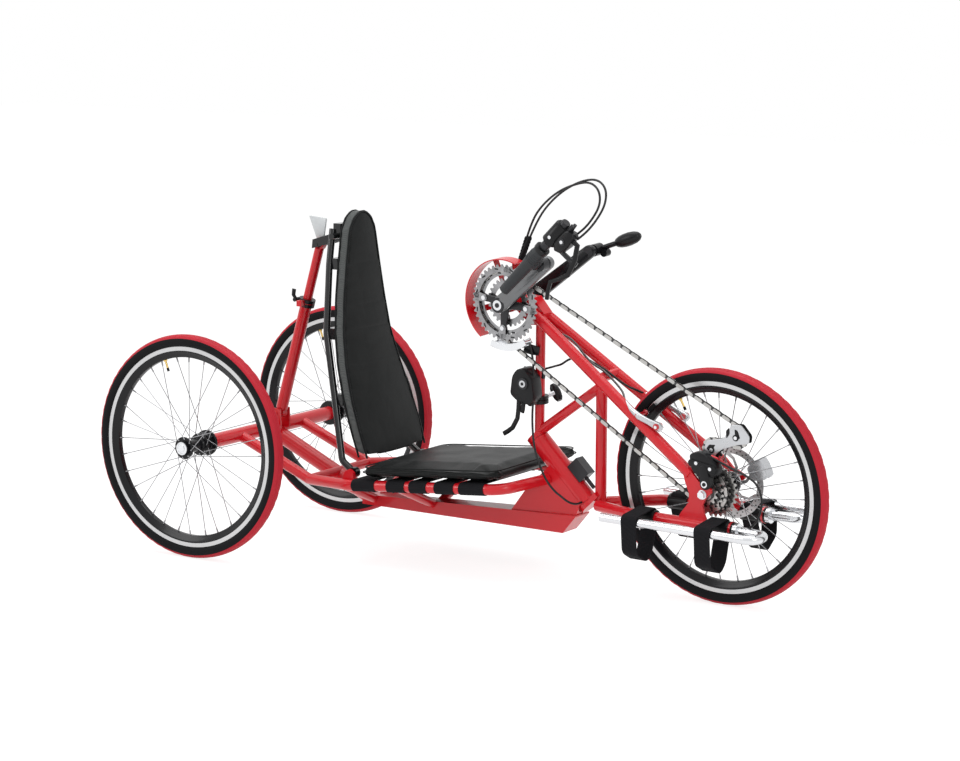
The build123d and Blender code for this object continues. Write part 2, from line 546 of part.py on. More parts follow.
# Chain: straight runs of wide and narrow links, and side plates alone where teeth run between them.
SPROCKET_R = CHAIN_PITCH / (2 * sin(pi / CHAIN_SPROCKET))
RING_R = CHAIN_PITCH / (2 * sin(pi / CHAIN_RING))
PULLEY_R = CHAIN_PITCH / (2 * sin(pi / 11))
TENSION = (AXLE_X + 68.8, AXLE_Z + 127.3)
GUIDE = (AXLE_X + 8.8, AXLE_Z + 94.3)


def tangent(a, ra, b, rb, side_a, side_b):
    """End points of the line that leaves circle a and meets circle b, each on its left (1) or right (-1)."""
    dx, dz = b[0] - a[0], b[1] - a[1]
    dist = hypot(dx, dz)
    turn = asin((side_b * rb - side_a * ra) / dist)
    angle = atan2(dz, dx) + turn
    nx, nz = -sin(angle), cos(angle)
    leaves = (a[0] + side_a * ra * nx, a[1] + side_a * ra * nz)
    return leaves, (b[0] + side_b * rb * nx, b[1] + side_b * rb * nz)


upper = tangent(centre, RING_R, TENSION, PULLEY_R, 1, 1)
back = tangent(TENSION, PULLEY_R, GUIDE, PULLEY_R, 1, -1)
onto = tangent(GUIDE, PULLEY_R, hub_at, SPROCKET_R, -1, 1)
lower = tangent(hub_at, SPROCKET_R, centre, RING_R, 1, 1)


def angle_of(point, about):
    return degrees(atan2(point[1] - about[1], point[0] - about[0]))


def run_block(a, b, half_w, half_h):
    """A straight bar of chain from a to b in the XZ plane."""
    ux, uz = (b[0] - a[0]), (b[1] - a[1])
    length = hypot(ux, uz)
    nx, nz = -uz / length * half_h, ux / length * half_h
    corners = [(a[0] + nx, a[1] + nz), (b[0] + nx, b[1] + nz), (b[0] - nx, b[1] - nz), (a[0] - nx, a[1] - nz)]
    return slab(corners, CHAIN_Y - half_w, CHAIN_Y + half_w)


def between(a, b, share):
    return a[0] + (b[0] - a[0]) * share, a[1] + (b[1] - a[1]) * share


def linked_run(a, b):
    """Links one pitch long, every second one wider and taller."""
    length = hypot(b[0] - a[0], b[1] - a[1])
    count = int(length // CHAIN_PITCH)
    links = []
    for link in range(count):
        wide = link % 2 == 0
        low = between(a, b, link / count)
        high = between(a, b, (link + 1) / count)
        links.append(run_block(low, high, CHAIN_HALF_W if wide else 2.3, CHAIN_HALF_H if wide else 3.4))
    return links


def plates(solid):
    """Keep only the side plates of a stretch of chain, so that teeth can run between them."""
    room = 2 * (AXLE_X - CRANK_X)
    slot = Pos((CRANK_X + AXLE_X) / 2, CHAIN_Y, (CRANK_Z + AXLE_Z) / 2) * Box(room, 2 * PLATE_INNER, room)
    return solid - slot


def clear_share(a, b, tip_r):
    """Share of a run, from its tangent point a, that still lies beside the teeth."""
    length = hypot(b[0] - a[0], b[1] - a[1])
    pitch_r = tip_r - TOOTH_H
    reach = sqrt((tip_r + CHAIN_HALF_H + 1) ** 2 - pitch_r ** 2)
    return reach / length


tip_ring, tip_sprocket = RING_R + TOOTH_H, SPROCKET_R + TOOTH_H
up_a = between(*upper, clear_share(*upper, tip_ring))
low_b = between(*lower, 1 - clear_share(lower[1], lower[0], tip_ring))
low_a = between(*lower, clear_share(*lower, tip_sprocket))
first_link, *later_links = linked_run(up_a, upper[1])
chain = first_link + later_links + linked_run(low_b, low_a)
ring_start, ring_end = angle_of(upper[0], centre), angle_of(lower[1], centre) + 360
wrap = arc_strip(*centre, RING_R - CHAIN_HALF_H, RING_R + CHAIN_HALF_H, ring_start, ring_end,
                 CHAIN_Y - CHAIN_HALF_W, CHAIN_Y + CHAIN_HALF_W)
wrap = wrap + run_block(upper[0], up_a, CHAIN_HALF_W, CHAIN_HALF_H)
wrap = wrap + run_block(lower[1], low_b, CHAIN_HALF_W, CHAIN_HALF_H)
chain = chain + plates(wrap).solids()
hub_start, hub_end = angle_of(lower[0], hub_at), angle_of(onto[1], hub_at)
if hub_end < hub_start:
    hub_end += 360
rear_wrap = arc_strip(*hub_at, SPROCKET_R - CHAIN_HALF_H, SPROCKET_R + CHAIN_HALF_H, hub_start, hub_end,
                      CHAIN_Y - CHAIN_HALF_W, CHAIN_Y + CHAIN_HALF_W)
rear_wrap = rear_wrap + run_block(lower[0], low_a, CHAIN_HALF_W, CHAIN_HALF_H)
rear_wrap = rear_wrap + run_block(onto[1], onto[0], CHAIN_HALF_W, CHAIN_HALF_H)
chain = chain + plates(rear_wrap).solids()
t_start, t_end = angle_of(back[0], TENSION), angle_of(upper[1], TENSION)
g_start, g_end = angle_of(back[1], GUIDE), angle_of(onto[0], GUIDE)
pulley_low, pulley_high = PULLEY_R - CHAIN_HALF_H, PULLEY_R + CHAIN_HALF_H
chain_low, chain_high = CHAIN_Y - CHAIN_HALF_W, CHAIN_Y + CHAIN_HALF_W
chain = chain + arc_strip(*TENSION, pulley_low, pulley_high, t_start, t_end, chain_low, chain_high)
chain = chain + run_block(*back, CHAIN_HALF_W, CHAIN_HALF_H)
if g_end < g_start:
    g_end += 360
chain = chain + arc_strip(*GUIDE, pulley_low, pulley_high, g_start, g_end, chain_low, chain_high)
parts["chain"] = chain

# Rear derailleur, hung above the cassette: pulleys, cage plates, and a body on the right dropout.
pulleys = disc(*TENSION, pulley_low - RUN_GAP, CHAIN_Y - 2, CHAIN_Y + 2)
pulleys = pulleys + disc(*GUIDE, pulley_low - RUN_GAP, CHAIN_Y - 2, CHAIN_Y + 2)
cage_line = [
    (GUIDE[0] - 8, GUIDE[1] + 12), (TENSION[0] - 2, TENSION[1] + 14), (TENSION[0] + 14, TENSION[1] - 8),
    (GUIDE[0] + 10, GUIDE[1] - 10), (GUIDE[0] - 12, GUIDE[1] - 8),
]
CAGE_GAP = 0.6
CAGE_T = 2.0
cage = slab(cage_line, chain_high + CAGE_GAP, chain_high + CAGE_GAP + CAGE_T)
cage = cage + slab(cage_line, chain_low - CAGE_GAP - CAGE_T, chain_low - CAGE_GAP)
for spot in (TENSION, GUIDE):
    cage = cage + disc(*spot, 4, chain_low - CAGE_GAP - 1, chain_high + CAGE_GAP + 1)
MECH_BODY = ((-35.2, 59.3), (-17.2, 105.3), (18.8, 103.3), (14.8, 83.3), (-5.2, 59.3), (-25.2, 43.3))
mech_body = slab(about(hub_at, MECH_BODY), -DROP_Y - DROP_T - 4, chain_low - CAGE_GAP - 0.3)
derailleur = cage + pulleys.solids() + mech_body - dropouts - blades - chain
parts["derailleur"] = derailleur

# Front derailleur: a cage over the lower run, clamped to the mast.
front_cage = arc_strip(*centre, 91, 108, 248, 304, -55, -53)
front_cage = front_cage + arc_strip(*centre, 91, 108, 248, 304, -31, -29)
front_cage = front_cage + arc_strip(*centre, 104, 108, 248, 254, -55, -29)
front_cage = front_cage + arc_strip(*centre, 104, 108, 298, 304, -55, -29)
CARRY_OUTER = ((41, -63), (57, -63), (61, -99), (45, -99))
CARRY_INNER = ((41, -63), (57, -63), (59, -83), (43, -83))
carry = slab(about(centre, CARRY_OUTER), -30, -12) + slab(about(centre, CARRY_INNER), -30, -8)
parts["front_derailleur"] = front_cage + carry - mast - blades - chain - crank_housing

# Chain guard: a hoop behind the rings, carried by two arms from the crank housing.
guard = arc_strip(*centre, 99, 101.5, 68, 232, -60, -26)
for angle in (112, 196):
    start = polar(*centre, 21, angle)
    end = polar(*centre, 100, angle)
    side = polar(0, 0, 7, angle + 90)
    guard = guard + slab([
        (start[0] + side[0], start[1] + side[1]), (end[0] + side[0], end[1] + side[1]),
        (end[0] - side[0], end[1] - side[1]), (start[0] - side[0], start[1] - side[1])], -29, -26)
parts["chain_guard"] = guard - crank_housing

# Rim brake arms on the blades, and the disc brake caliper on the left dropout.
BRAKE_AT = 0.78


def on_blade(share):
    a, b = blade_path
    return tuple(a[i] + (b[i] - a[i]) * share for i in range(3))


boss_at = on_blade(BRAKE_AT)
arm_axis = (boss_at[0] + 10, boss_at[1], boss_at[2] + 24)
arm_bend = (arm_axis[0] - 44, arm_axis[1] + 6, arm_axis[2] + 18)
arm_tip = (arm_axis[0] - 92, arm_axis[1] + 12, arm_axis[2] + 42)
brake = rod(boss_at, arm_axis, 17) + rod(arm_axis, arm_bend, 14) + rod(arm_bend, arm_tip, 11)
pad_z = arm_axis[2] + 8
brake = brake + rod((arm_axis[0] - 20, arm_axis[1], pad_z), (arm_axis[0] - 24, -18, pad_z), 8)
parts["rim_brake"] = both(brake - blades)
PAD_SPAN = (12, 42)
caliper = arc_strip(*hub_at, 56, 100, *PAD_SPAN, ROTOR_Y - 12, ROTOR_Y - 3)
caliper = caliper + arc_strip(*hub_at, 56, 100, *PAD_SPAN, ROTOR_Y + 3, DROP_Y)
caliper = caliper + arc_strip(*hub_at, 84, 100, *PAD_SPAN, ROTOR_Y - 12, DROP_Y)
CALIPER_PLATE = ((-5.2, 37.3), (14.8, 49.3), (54.8, 59.3), (64.8, 33.3), (30.8, 9.3), (8.8, 13.3))
caliper = caliper + slab(about(hub_at, CALIPER_PLATE), DROP_Y - 7, DROP_Y)
parts["brake_caliper"] = caliper

# Footrests: silver hoops clamped to the rail ends, black sleeves on the rails, webbing loops.
HOOP_Y = 132.0
HOOP_Z = FOOT_RAIL_Z + 3
HOOP_DIA = 20.0
rail_end_x, rail_end_y, rail_end_z = FOOT_RAIL_END
hoop = bent([
    (rail_end_x - 2, rail_end_y, rail_end_z), (rail_end_x + 72, rail_end_y - 4, rail_end_z),
    (rail_end_x + 84, -HOOP_Y, HOOP_Z), (rail_end_x - 304, -HOOP_Y, HOOP_Z)], HOOP_DIA, (24, 22))
parts["foot_hoops"] = both(hoop - foot_rail)
SLEEVES = ((-169.2, -121.2), (14.8, 66.8))
SLEEVE_Y = (-68.6, -69.6)
sleeves = []
for start, end in SLEEVES:
    rear_end, front_end = (AXLE_X + start, SLEEVE_Y[0], FOOT_RAIL_Z), (AXLE_X + end, SLEEVE_Y[1], FOOT_RAIL_Z)
    sleeve = rod(rear_end, front_end, TUBE + 10)
    sleeves.append(sleeve - foot_rail - dropout)
sleeve_set = Compound(children=[solid for item in sleeves for solid in item.solids()])
parts["rail_sleeves"] = both(sleeve_set)
STRAPS = (-145.2, 38.8)
STRAP_W = 38.0
STRAP_OUTER = ((-146, 14), (-58, 20), (-55, -6), (-78, -76), (-100, -96), (-142, -70))
STRAP_INNER = ((-142, 10), (-62, 16), (-59, -6), (-81, -73), (-100, -92), (-138, -66))
strap_solids = []
for x_mid in STRAPS:
    outer, inner = [[(y, HOOP_Z + z) for y, z in line] for line in (STRAP_OUTER, STRAP_INNER)]
    ring_face = Plane(origin=(AXLE_X + x_mid - STRAP_W / 2, 0, 0), x_dir=(0, 1, 0), z_dir=(1, 0, 0)) * (
        make_face(Polyline(*outer, close=True)) - make_face(Polyline(*inner, close=True)))
    strap = extrude(ring_face, STRAP_W, dir=(1, 0, 0))
    strap_solids.extend((strap - foot_rail - hoop - sleeve_set).solids())
parts["foot_straps"] = both(Compound(children=strap_solids))

# Parking brake lever on the mast, with its clamp and blade.
def on_mast(z):
    share = (z - MAST_FOOT[2]) / (MAST_TOP[2] - MAST_FOOT[2])
    return MAST_FOOT[0] + (MAST_TOP[0] - MAST_FOOT[0]) * share


CLAMP_Z = MAST_FOOT[2] + 84
CLAMP_HALF = 8.0
LEVER_BODY = ((-23.7, -2), (-39.7, 24), (-45.7, 56), (-25.7, 76), (-5.7, 68), (-9.7, 4))
LEVER_BLADE = ((-37.7, -34, 26), (-45.7, -36, -22), (-61.7, -38, -54), (-77.7, -38, -68))
clamp_at = (on_mast(CLAMP_Z), 0, CLAMP_Z)
clamp_low = (on_mast(CLAMP_Z - CLAMP_HALF), 0, CLAMP_Z - CLAMP_HALF)
clamp_high = (on_mast(CLAMP_Z + CLAMP_HALF), 0, CLAMP_Z + CLAMP_HALF)
clamp = rod(clamp_low, clamp_high, SLIM_TUBE + 12)
stub = rod((clamp_at[0], 10, CLAMP_Z), (clamp_at[0] + 12, 62, CLAMP_Z + 12), 20)
lever_body = slab(about((clamp_at[0], CLAMP_Z), LEVER_BODY), -56, -14)
blade_lever = bent([(clamp_at[0] + x, y, CLAMP_Z + z) for x, y, z in LEVER_BLADE], 9, (26, 16))
carrier = rod(clamp_at, (clamp_at[0] - 15.7, -30, CLAMP_Z + 10), 14)
parts["mast_lever"] = clamp + stub + lever_body + blade_lever + carrier - mast

# Backrest: a pad, wide at the hips and narrow at the shoulders, on a bent tube.
BACK = (
    (240, 377, 124), (300, 358, 127), (372, 333, 124), (450, 308, 112), (520, 292, 99), (600, 284, 86),
    (680, 280, 71), (760, 278, 55), (806, 278, 38),
)
PAD_T = 40.0


def pad_section(z, x, half):
    return Plane(origin=(x - PAD_T / 2, 0, z), x_dir=(1, 0, 0), z_dir=(0, 0, 1)) * Rectangle(PAD_T, 2 * half)


pad = loft([pad_section(*BACK[0]), pad_section(*BACK[1])], ruled=True)
for low, high in zip(BACK[1:], BACK[2:]):
    pad = pad + loft([pad_section(*low), pad_section(*high)], ruled=True)
parts["back_pad"] = pad
FRAME_BACK = 22.0
FRAME_DIA = 16.0
HINGE_Y = 138.0
frame_heights = (BACK[2], BACK[4], BACK[6], BACK[7])
back_tube = [(hinge_x, -HINGE_Y, hinge_z), (hinge_x - 34, -HINGE_Y, hinge_z + 24)]
for z, x, half in frame_heights:
    back_tube.append((x - PAD_T - FRAME_BACK, -half + 12, z))
frame_side = bent(back_tube, FRAME_DIA, (24, 60, 60, 60))
frame_side = frame_side + disc(hinge_x, hinge_z, 12, -HINGE_Y - 8, -HINGE_Y + 8)
back_frame = frame_side + mirror(frame_side, about=Plane.XZ)
for z, x, half in frame_heights:
    slat_x = x - PAD_T - RUN_GAP - 10
    back_frame = back_frame + Pos(slat_x, 0, z) * Box(20, 2 * half - 24, 26)
back_frame = back_frame - disc(hinge_x, hinge_z, HINGE_PIN / 2 + RUN_GAP, -200, 200)

# Recline strut: a lower tube pivoted on the axle beam and an upper tube that slides in it.
STRUT_FOOT = (32.0, WHEEL_R + 40)
STRUT_EYE = (150.0, 716.0)
strut_dir = Vector(STRUT_EYE[0] - STRUT_FOOT[0], 0, STRUT_EYE[1] - STRUT_FOOT[1]).normalized()


def on_strut(s, y=0.0):
    return (STRUT_FOOT[0] + strut_dir.X * s, y, STRUT_FOOT[1] + strut_dir.Z * s)


STRUT_LEN = hypot(STRUT_EYE[0] - STRUT_FOOT[0], STRUT_EYE[1] - STRUT_FOOT[1])
CLAMP_S = 292.0
UPPER_DIA = 22.0
LOWER_DIA = 28.0
FOOT_PIN, EYE_PIN, EYE_BORE = 10.0, 8.0, 16.0
SLIDE_S, UPPER_S = 40.0, 130.0
slide = rod(on_strut(SLIDE_S), on_strut(CLAMP_S + 1), UPPER_DIA + 2 * RUN_GAP)
clamp_ring = rod(on_strut(CLAMP_S - 16), on_strut(CLAMP_S), LOWER_DIA + 10)
clamp_ring = clamp_ring + Pos(*on_strut(CLAMP_S - 8, -24)) * Box(14, 16, 14)
lower_tube = rod(on_strut(12), on_strut(CLAMP_S), LOWER_DIA) + clamp_ring - slide
lower_tube = lower_tube + disc(*STRUT_FOOT, 13, -9, 9)
parts["strut_lower"] = lower_tube - disc(*STRUT_FOOT, FOOT_PIN / 2 + 0.3, -20, 20)
upper_tube = rod(on_strut(UPPER_S), on_strut(STRUT_LEN - 10), UPPER_DIA)
FLAG = ((-30, 65), (17, 61), (8, 8), (-6, 6))
flag = slab(about(STRUT_EYE, FLAG), -1.5, 1.5)
upper_tube = upper_tube + disc(*STRUT_EYE, 13, -7, 7) + flag
parts["strut_upper"] = upper_tube - disc(*STRUT_EYE, EYE_BORE / 2, -20, 20)
EAR_Y = 15.0
EAR = ((-13, -9), (-11, 12), (78, 40), (78, 16))
for side in (-1, 1):
    back_frame = back_frame + slab(about(STRUT_EYE, EAR), side * EAR_Y - 2, side * EAR_Y + 2)
back_frame = back_frame + disc(*STRUT_EYE, EYE_PIN / 2, -EAR_Y - 3, EAR_Y + 3)
back_frame = back_frame + rod((226, -62, 744), (226, 62, 744), 14)
parts["back_frame"] = back_frame - pad
FOOT_LUG_Y = 18.0
FOOT_LUG = ((-14, -4), (-8, 13), (12, 11), (14, -36), (-28, -40))
for side in (-1, 1):
    beam = beam + slab(about(STRUT_FOOT, FOOT_LUG), side * FOOT_LUG_Y - 2.5, side * FOOT_LUG_Y + 2.5)
beam = beam + disc(*STRUT_FOOT, FOOT_PIN / 2, -FOOT_LUG_Y - 4, FOOT_LUG_Y + 4)
parts["axle_beam"] = beam - spine

# Cables. Two run from the crank housing to the right handle in a high loop, because the handle
# travels round with the crank. Each route is given in stages: a place, then points as distances from it.
CABLE_DIA = 5.0
PLACES = {
    "crank": centre,
    "handle": EYE,
    "lever": (clamp_at[0], CLAMP_Z),
    "bridge": (bridge_x, bridge_z),
    "brake": (arm_tip[0], arm_tip[2]),
    "hub": hub_at,
    "rail end": (rail_end_x, rail_end_z),
    "head foot": (HEAD_FOOT_X, HEAD_FOOT_Z),
}


def cord(stages, dia):
    """A tube along straight runs and tangent arcs as large as the runs allow."""
    points = []
    for place, *table in stages:
        x, z = PLACES[place]
        points.extend([(x + dx, y, z + dz) for dx, y, dz in table])
    spots = [Vector(*p) for p in points]
    radii = []
    for before, here, after in zip(spots, spots[1:], spots[2:]):
        bend = radians((here - before).get_angle(after - here))
        radii.append(0.45 * min((here - before).length, (after - here).length) / tan(bend / 2))
    path = FilletPolyline(*points, radius=radii)
    print("cord length", round(path.length, 1), "radii", [round(r) for r in radii])
    return sweep(Plane(origin=path @ 0, z_dir=path % 0) * Circle(dia / 2), path=path)


BOOTS = (
    ((15, -7, 85), (44, -7, 146)),
    ((5, 7, 85), (26, 7, 143)),
)
LOOPS = (
    (
        ("crank", (44, -7, 146), (69, -12, 187), (106, -22, 226), (157, -36, 262), (213, -51, 287)),
        ("handle", (122.8, -67, 189.9), (156.8, -83, 174.9), (164.8, -97, 143.9), (150.8, -109, 110.9),
         (126.8, -119, 79.9), (107.8, -124, 65.9)),
    ),
    (
        ("crank", (26, 7, 143), (46, 0, 183), (83, -13, 221), (137, -29, 257), (195, -46, 279)),
        ("handle", (102.8, -63, 181.9), (136.8, -79, 167.9), (147.8, -93, 138.9), (134.8, -106, 107.9),
         (112.8, -115, 81.9), (94.8, -121, 69.9)),
    ),
)
boots = []
for (low_x, y, low_z), (high_x, _, high_z) in BOOTS:
    low_end = (CRANK_X + low_x, y, CRANK_Z + low_z)
    boots.append(cone(low_end, (CRANK_X + high_x, y, CRANK_Z + high_z), 12, 9))
parts["cable_boots"] = Compound(children=[(boot - crank_housing).solids()[0] for boot in boots])
crank_cables = []
for route in LOOPS:
    loop = cord(route, CABLE_DIA) - parts["cable_boots"] - parts["handle_controls_right"] - bracket
    crank_cables.append(max(loop.solids(), key=lambda solid: solid.volume))
parts["crank_cables"] = Compound(children=crank_cables)

# Cables that the front unit holds: two to the rim brake over the fork bridge, and the gear cable's
# loop from the derailleur round to the end of the foot rail.
steering_line = Axis((HEAD_FOOT_X, 0, HEAD_FOOT_Z), (-cos(radians(RAKE)), 0, sin(radians(RAKE))))
HELD_ROUTES = (
    (
        ("crank", (72, 0, -43), (88, -1, -56), (106, -3, -66), (135, -3, -70), (157, -3, -84)),
        ("bridge", (-61, -4, 42), (-38, -6, 23), (-7, -8, 12), (17, -11, -4)),
        ("brake", (-29, -16, 22.7), (-11, -27, 11.7), (0, -42.6, 0)),
    ),
    (
        ("lever", (-15.7, -30, 46), (-29.7, -8, 50), (-27.7, 16, 55), (-8.7, 32, 62), (16.3, 29, 70),
         (38.3, 14, 78), (57.3, 5, 84)),
        ("bridge", (-106, 2, 25), (-80, 2, 33), (-59, 2, 32), (-36, 2, 22), (-7, 0, 12), (17, 2, -4)),
        ("brake", (-29, 8, 22.7), (-11, 24, 11.7), (0, 42.6, 0)),
    ),
    (
        ("hub", (12.8, -62, 82.3), (44.8, -62, 70.3), (74.8, -65, 61.3), (102.8, -70, 55.3),
         (136.8, -78, 42.3), (150.8, -80, 9.3)),
        ("rail end", (62, -78, 45), (48, -75, 21), (26, -71, 6)),
    ),
)
CABLE_ENDS = ("crank_housing", "mast_lever", "fork_blades", "rim_brake", "derailleur", "foot_hoops")
held = []
for route in HELD_ROUTES:
    tube = cord(route, CABLE_DIA)
    for neighbour in CABLE_ENDS:
        tube = tube - parts[neighbour]
    held.append(max(tube.solids(), key=lambda solid: solid.volume))
parts["control_cables"] = Compound(children=held)

# The front derailleur's cable hangs from its cage, passes outside the seat rail and ends at the foot
# of the head tube. Its points are given as the front unit stands parked.
HANGING_ROUTE = (
    ("crank", (50, -46, -92), (60, -48, -124), (63, -50, -164), (64, -52, -216)),
    ("head foot", (-125, -56, 196), (-118, -62, 150), (-104, -72, 117), (-88, -80, 93), (-73, -80, 65),
     (-57, -70, 40), (-41, -70, 31), (-28.5, -62, 18.5), (-19.5, -49.5, 11.5), (-13.5, -33.5, 10),
     (-12, -18, 13)),
)
hanging = cord(HANGING_ROUTE, CABLE_DIA) - parts["head_tube"]
cage_parked = parts["front_derailleur"].rotate(steering_line, PARK_TURN)
column_parked = parts["steering_column"].rotate(steering_line, PARK_TURN)
hanging = hanging - cage_parked - column_parked
parts["derailleur_cable"] = max(hanging.solids(), key=lambda solid: solid.volume)

FRONT_UNIT = (
    "crank_housing", "steering_column", "mast", "fork_blades", "fork_bridge", "diagonal", "foot_rails",
    "dropouts", "front_axle", "front_hub", "front_tyre", "front_rim", "cassette", "brake_rotor", "chainrings",
    "crank_arm_right", "crank_arm_left", "handle_bracket_right", "handle_grip_right", "handle_controls_right",
    "handle_bracket_left", "handle_grip_left", "chain", "derailleur", "front_derailleur", "chain_guard",
    "rim_brake", "brake_caliper", "foot_hoops", "rail_sleeves", "foot_straps", "mast_lever", "cable_boots",
    "crank_cables", "control_cables",
)
# The parked front tyre reaches furthest forward, the rear tyres furthest back.
parked_x = HEAD_FOOT_X + ahead * (1 + turn_cos) / 2 - (AXLE_Z - HEAD_FOOT_Z) * (1 - turn_cos) / 2
normal_x = sin(radians(RAKE)) * sin(radians(-PARK_TURN))
front_reach = parked_x + WHEEL_R * sqrt(1 - normal_x ** 2) + TREAD_HALF * normal_x
ORIGIN_X = (front_reach - WHEEL_R) / 2

os.makedirs("parts", exist_ok=True)
for name, shape in parts.items():
    if name in FRONT_UNIT:
        shape = Compound(children=list(shape.solids())).rotate(steering_line, PARK_TURN)
    solids = [Pos(-ORIGIN_X, 0, 0) * solid for solid in shape.solids()]
    export_step(solids[0] if len(solids) == 1 else Compound(children=solids), f"parts/{name}.step")
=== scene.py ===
import json
import math

import bmesh
import bpy
from mathutils import Matrix, Vector, noise


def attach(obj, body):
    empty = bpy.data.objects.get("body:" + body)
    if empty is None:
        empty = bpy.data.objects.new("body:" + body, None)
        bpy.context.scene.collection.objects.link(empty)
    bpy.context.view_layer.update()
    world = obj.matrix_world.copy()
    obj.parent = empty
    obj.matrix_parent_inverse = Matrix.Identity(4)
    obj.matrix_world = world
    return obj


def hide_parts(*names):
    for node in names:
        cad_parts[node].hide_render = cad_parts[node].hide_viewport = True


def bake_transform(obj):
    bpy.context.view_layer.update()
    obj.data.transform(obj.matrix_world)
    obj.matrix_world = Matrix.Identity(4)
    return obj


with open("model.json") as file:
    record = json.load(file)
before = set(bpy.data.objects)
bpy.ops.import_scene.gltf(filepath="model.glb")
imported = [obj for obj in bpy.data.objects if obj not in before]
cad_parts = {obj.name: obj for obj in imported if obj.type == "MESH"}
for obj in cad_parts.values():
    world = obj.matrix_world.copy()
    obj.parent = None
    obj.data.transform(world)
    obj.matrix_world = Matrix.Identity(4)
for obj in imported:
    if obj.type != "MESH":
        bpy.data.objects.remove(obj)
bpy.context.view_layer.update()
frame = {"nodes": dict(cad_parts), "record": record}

# Studio: a plain pale floor under a white world. The camera stands where the photograph was taken,
# about six metres from the handcycle and a little above it, with a long lens.
CAMERA_AT = Vector((3.0756, -4.9259, 1.3697))
YAW, PITCH, ROLL = math.radians(32.125), math.radians(9.160), math.radians(0.473)
LENS = 96.67
towards_camera = Vector((math.sin(YAW) * math.cos(PITCH), -math.cos(YAW) * math.cos(PITCH),
                         math.sin(PITCH)))
level_right = (-towards_camera).cross(Vector((0, 0, 1))).normalized()
level_up = level_right.cross(-towards_camera)
picture_right = level_right * math.cos(ROLL) + level_up * math.sin(ROLL)
picture_up = level_up * math.cos(ROLL) - level_right * math.sin(ROLL)


def new_object(name, data):
    """An object that shows its data in the scene."""
    made = bpy.data.objects.new(name, data)
    bpy.context.collection.objects.link(made)
    return made


camera = new_object("camera", bpy.data.cameras.new("camera"))
camera.data.lens = LENS
camera.data.sensor_width = 36
camera.matrix_world = Matrix.Translation(CAMERA_AT) @ Matrix(
    (picture_right, picture_up, towards_camera)).transposed().to_4x4()
bpy.context.scene.camera = camera
bpy.context.scene.view_settings.view_transform = "Standard"


def soft_lamp(name, at, aim, size, power):
    """A square studio softbox."""
    lamp = new_object(name, bpy.data.lights.new(name, "AREA"))
    lamp.data.size = size
    lamp.data.energy = power
    lamp.location = at
    lamp.rotation_euler = (Vector(aim) - Vector(at)).to_track_quat("-Z", "Y").to_euler()


def add_node(tree, kind, inputs, operation=None, data_type=None):
    """A shader node. Each of its inputs is given as a value, or as the socket that feeds it."""
    made = tree.nodes.new("ShaderNode" + kind)
    if operation:
        made.operation = operation
    if data_type:
        made.data_type = data_type
    for label, value in inputs.items():
        if isinstance(value, bpy.types.NodeSocket):
            tree.links.new(value, made.inputs[label])
        else:
            made.inputs[label].default_value = value
    return made


soft_lamp("overhead_softbox", (-0.2, 0.3, 3.4), (0, 0, 0.2), 3.2, 62)
soft_lamp("left_softbox", (-3.0, -3.2, 2.4), (0, 0, 0.4), 1.8, 42)
soft_lamp("right_softbox", (3.4, -1.6, 2.2), (0.2, 0, 0.4), 1.4, 24)

world = bpy.data.worlds.new("white_room")
bpy.context.scene.world = world
world.use_nodes = True
room = world.node_tree
rays = add_node(room, "LightPath", {}).outputs
mirrored = add_node(room, "Math", {0: rays["Is Glossy Ray"], 1: rays["Is Transmission Ray"]}, "MAXIMUM")
seen = add_node(room, "Math", {0: rays["Is Camera Ray"], 1: mirrored.outputs[0]}, "MAXIMUM")
strength = add_node(room, "MapRange", {"To Min": 0.52, "To Max": 1.0, "Value": seen.outputs[0]})
room.links.new(strength.outputs[0], room.nodes["Background"].inputs["Strength"])
room.nodes["Background"].inputs["Color"].default_value = (1, 1, 1, 1)

FLOOR_HALF = 14
floor_mesh = bmesh.new()
bmesh.ops.create_grid(floor_mesh, x_segments=1, y_segments=1, size=FLOOR_HALF)
floor = new_object("studio_floor", bpy.data.meshes.new("studio_floor"))
floor_mesh.to_mesh(floor.data)
floor_mesh.free()
floor_paper = bpy.data.materials.new("floor_paper")
floor_paper.use_nodes = True
paper = floor_paper.node_tree
paper.nodes.remove(paper.nodes["Principled BSDF"])
matte = add_node(paper, "BsdfDiffuse", {"Color": (0.9, 0.9, 0.905, 1)})
shaded = add_node(paper, "BsdfDiffuse", {"Color": (0.42, 0.42, 0.42, 1)})
glow = add_node(paper, "Emission", {"Strength": 0.8})
white = add_node(paper, "AddShader", {0: shaded.outputs[0], 1: glow.outputs[0]})
rays = add_node(paper, "LightPath", {}).outputs
seen = add_node(paper, "Math", {0: rays["Is Camera Ray"], 1: rays["Is Glossy Ray"]}, "MAXIMUM")
either = add_node(paper, "MixShader", {"Fac": seen.outputs[0], 1: matte.outputs[0], 2: white.outputs[0]})
paper.links.new(either.outputs[0], paper.nodes["Material Output"].inputs["Surface"])
floor.data.materials.append(floor_paper)

# The welded frame: round tubes and a box boom in gloss red enamel, sprayed over the whole frame.
# Its solids keep their shape, and the enamel flows a little unevenly, with faint orange peel.


def new_group(name, inputs):
    """A shader group that gives a colour, a roughness and a normal, with its own values to set."""
    tree = bpy.data.node_groups.new(name, "ShaderNodeTree")
    for label, value in inputs.items():
        kind = "NodeSocketColor" if isinstance(value, tuple) else "NodeSocketFloat"
        tree.interface.new_socket(label, in_out="INPUT", socket_type=kind).default_value = value
    for label, kind in (("Colour", "Color"), ("Roughness", "Float"), ("Normal", "Vector")):
        tree.interface.new_socket(label, in_out="OUTPUT", socket_type="NodeSocket" + kind)
    place = tree.nodes.new("ShaderNodeTexCoord").outputs["Object"]
    return tree, tree.nodes.new("NodeGroupInput").outputs, place


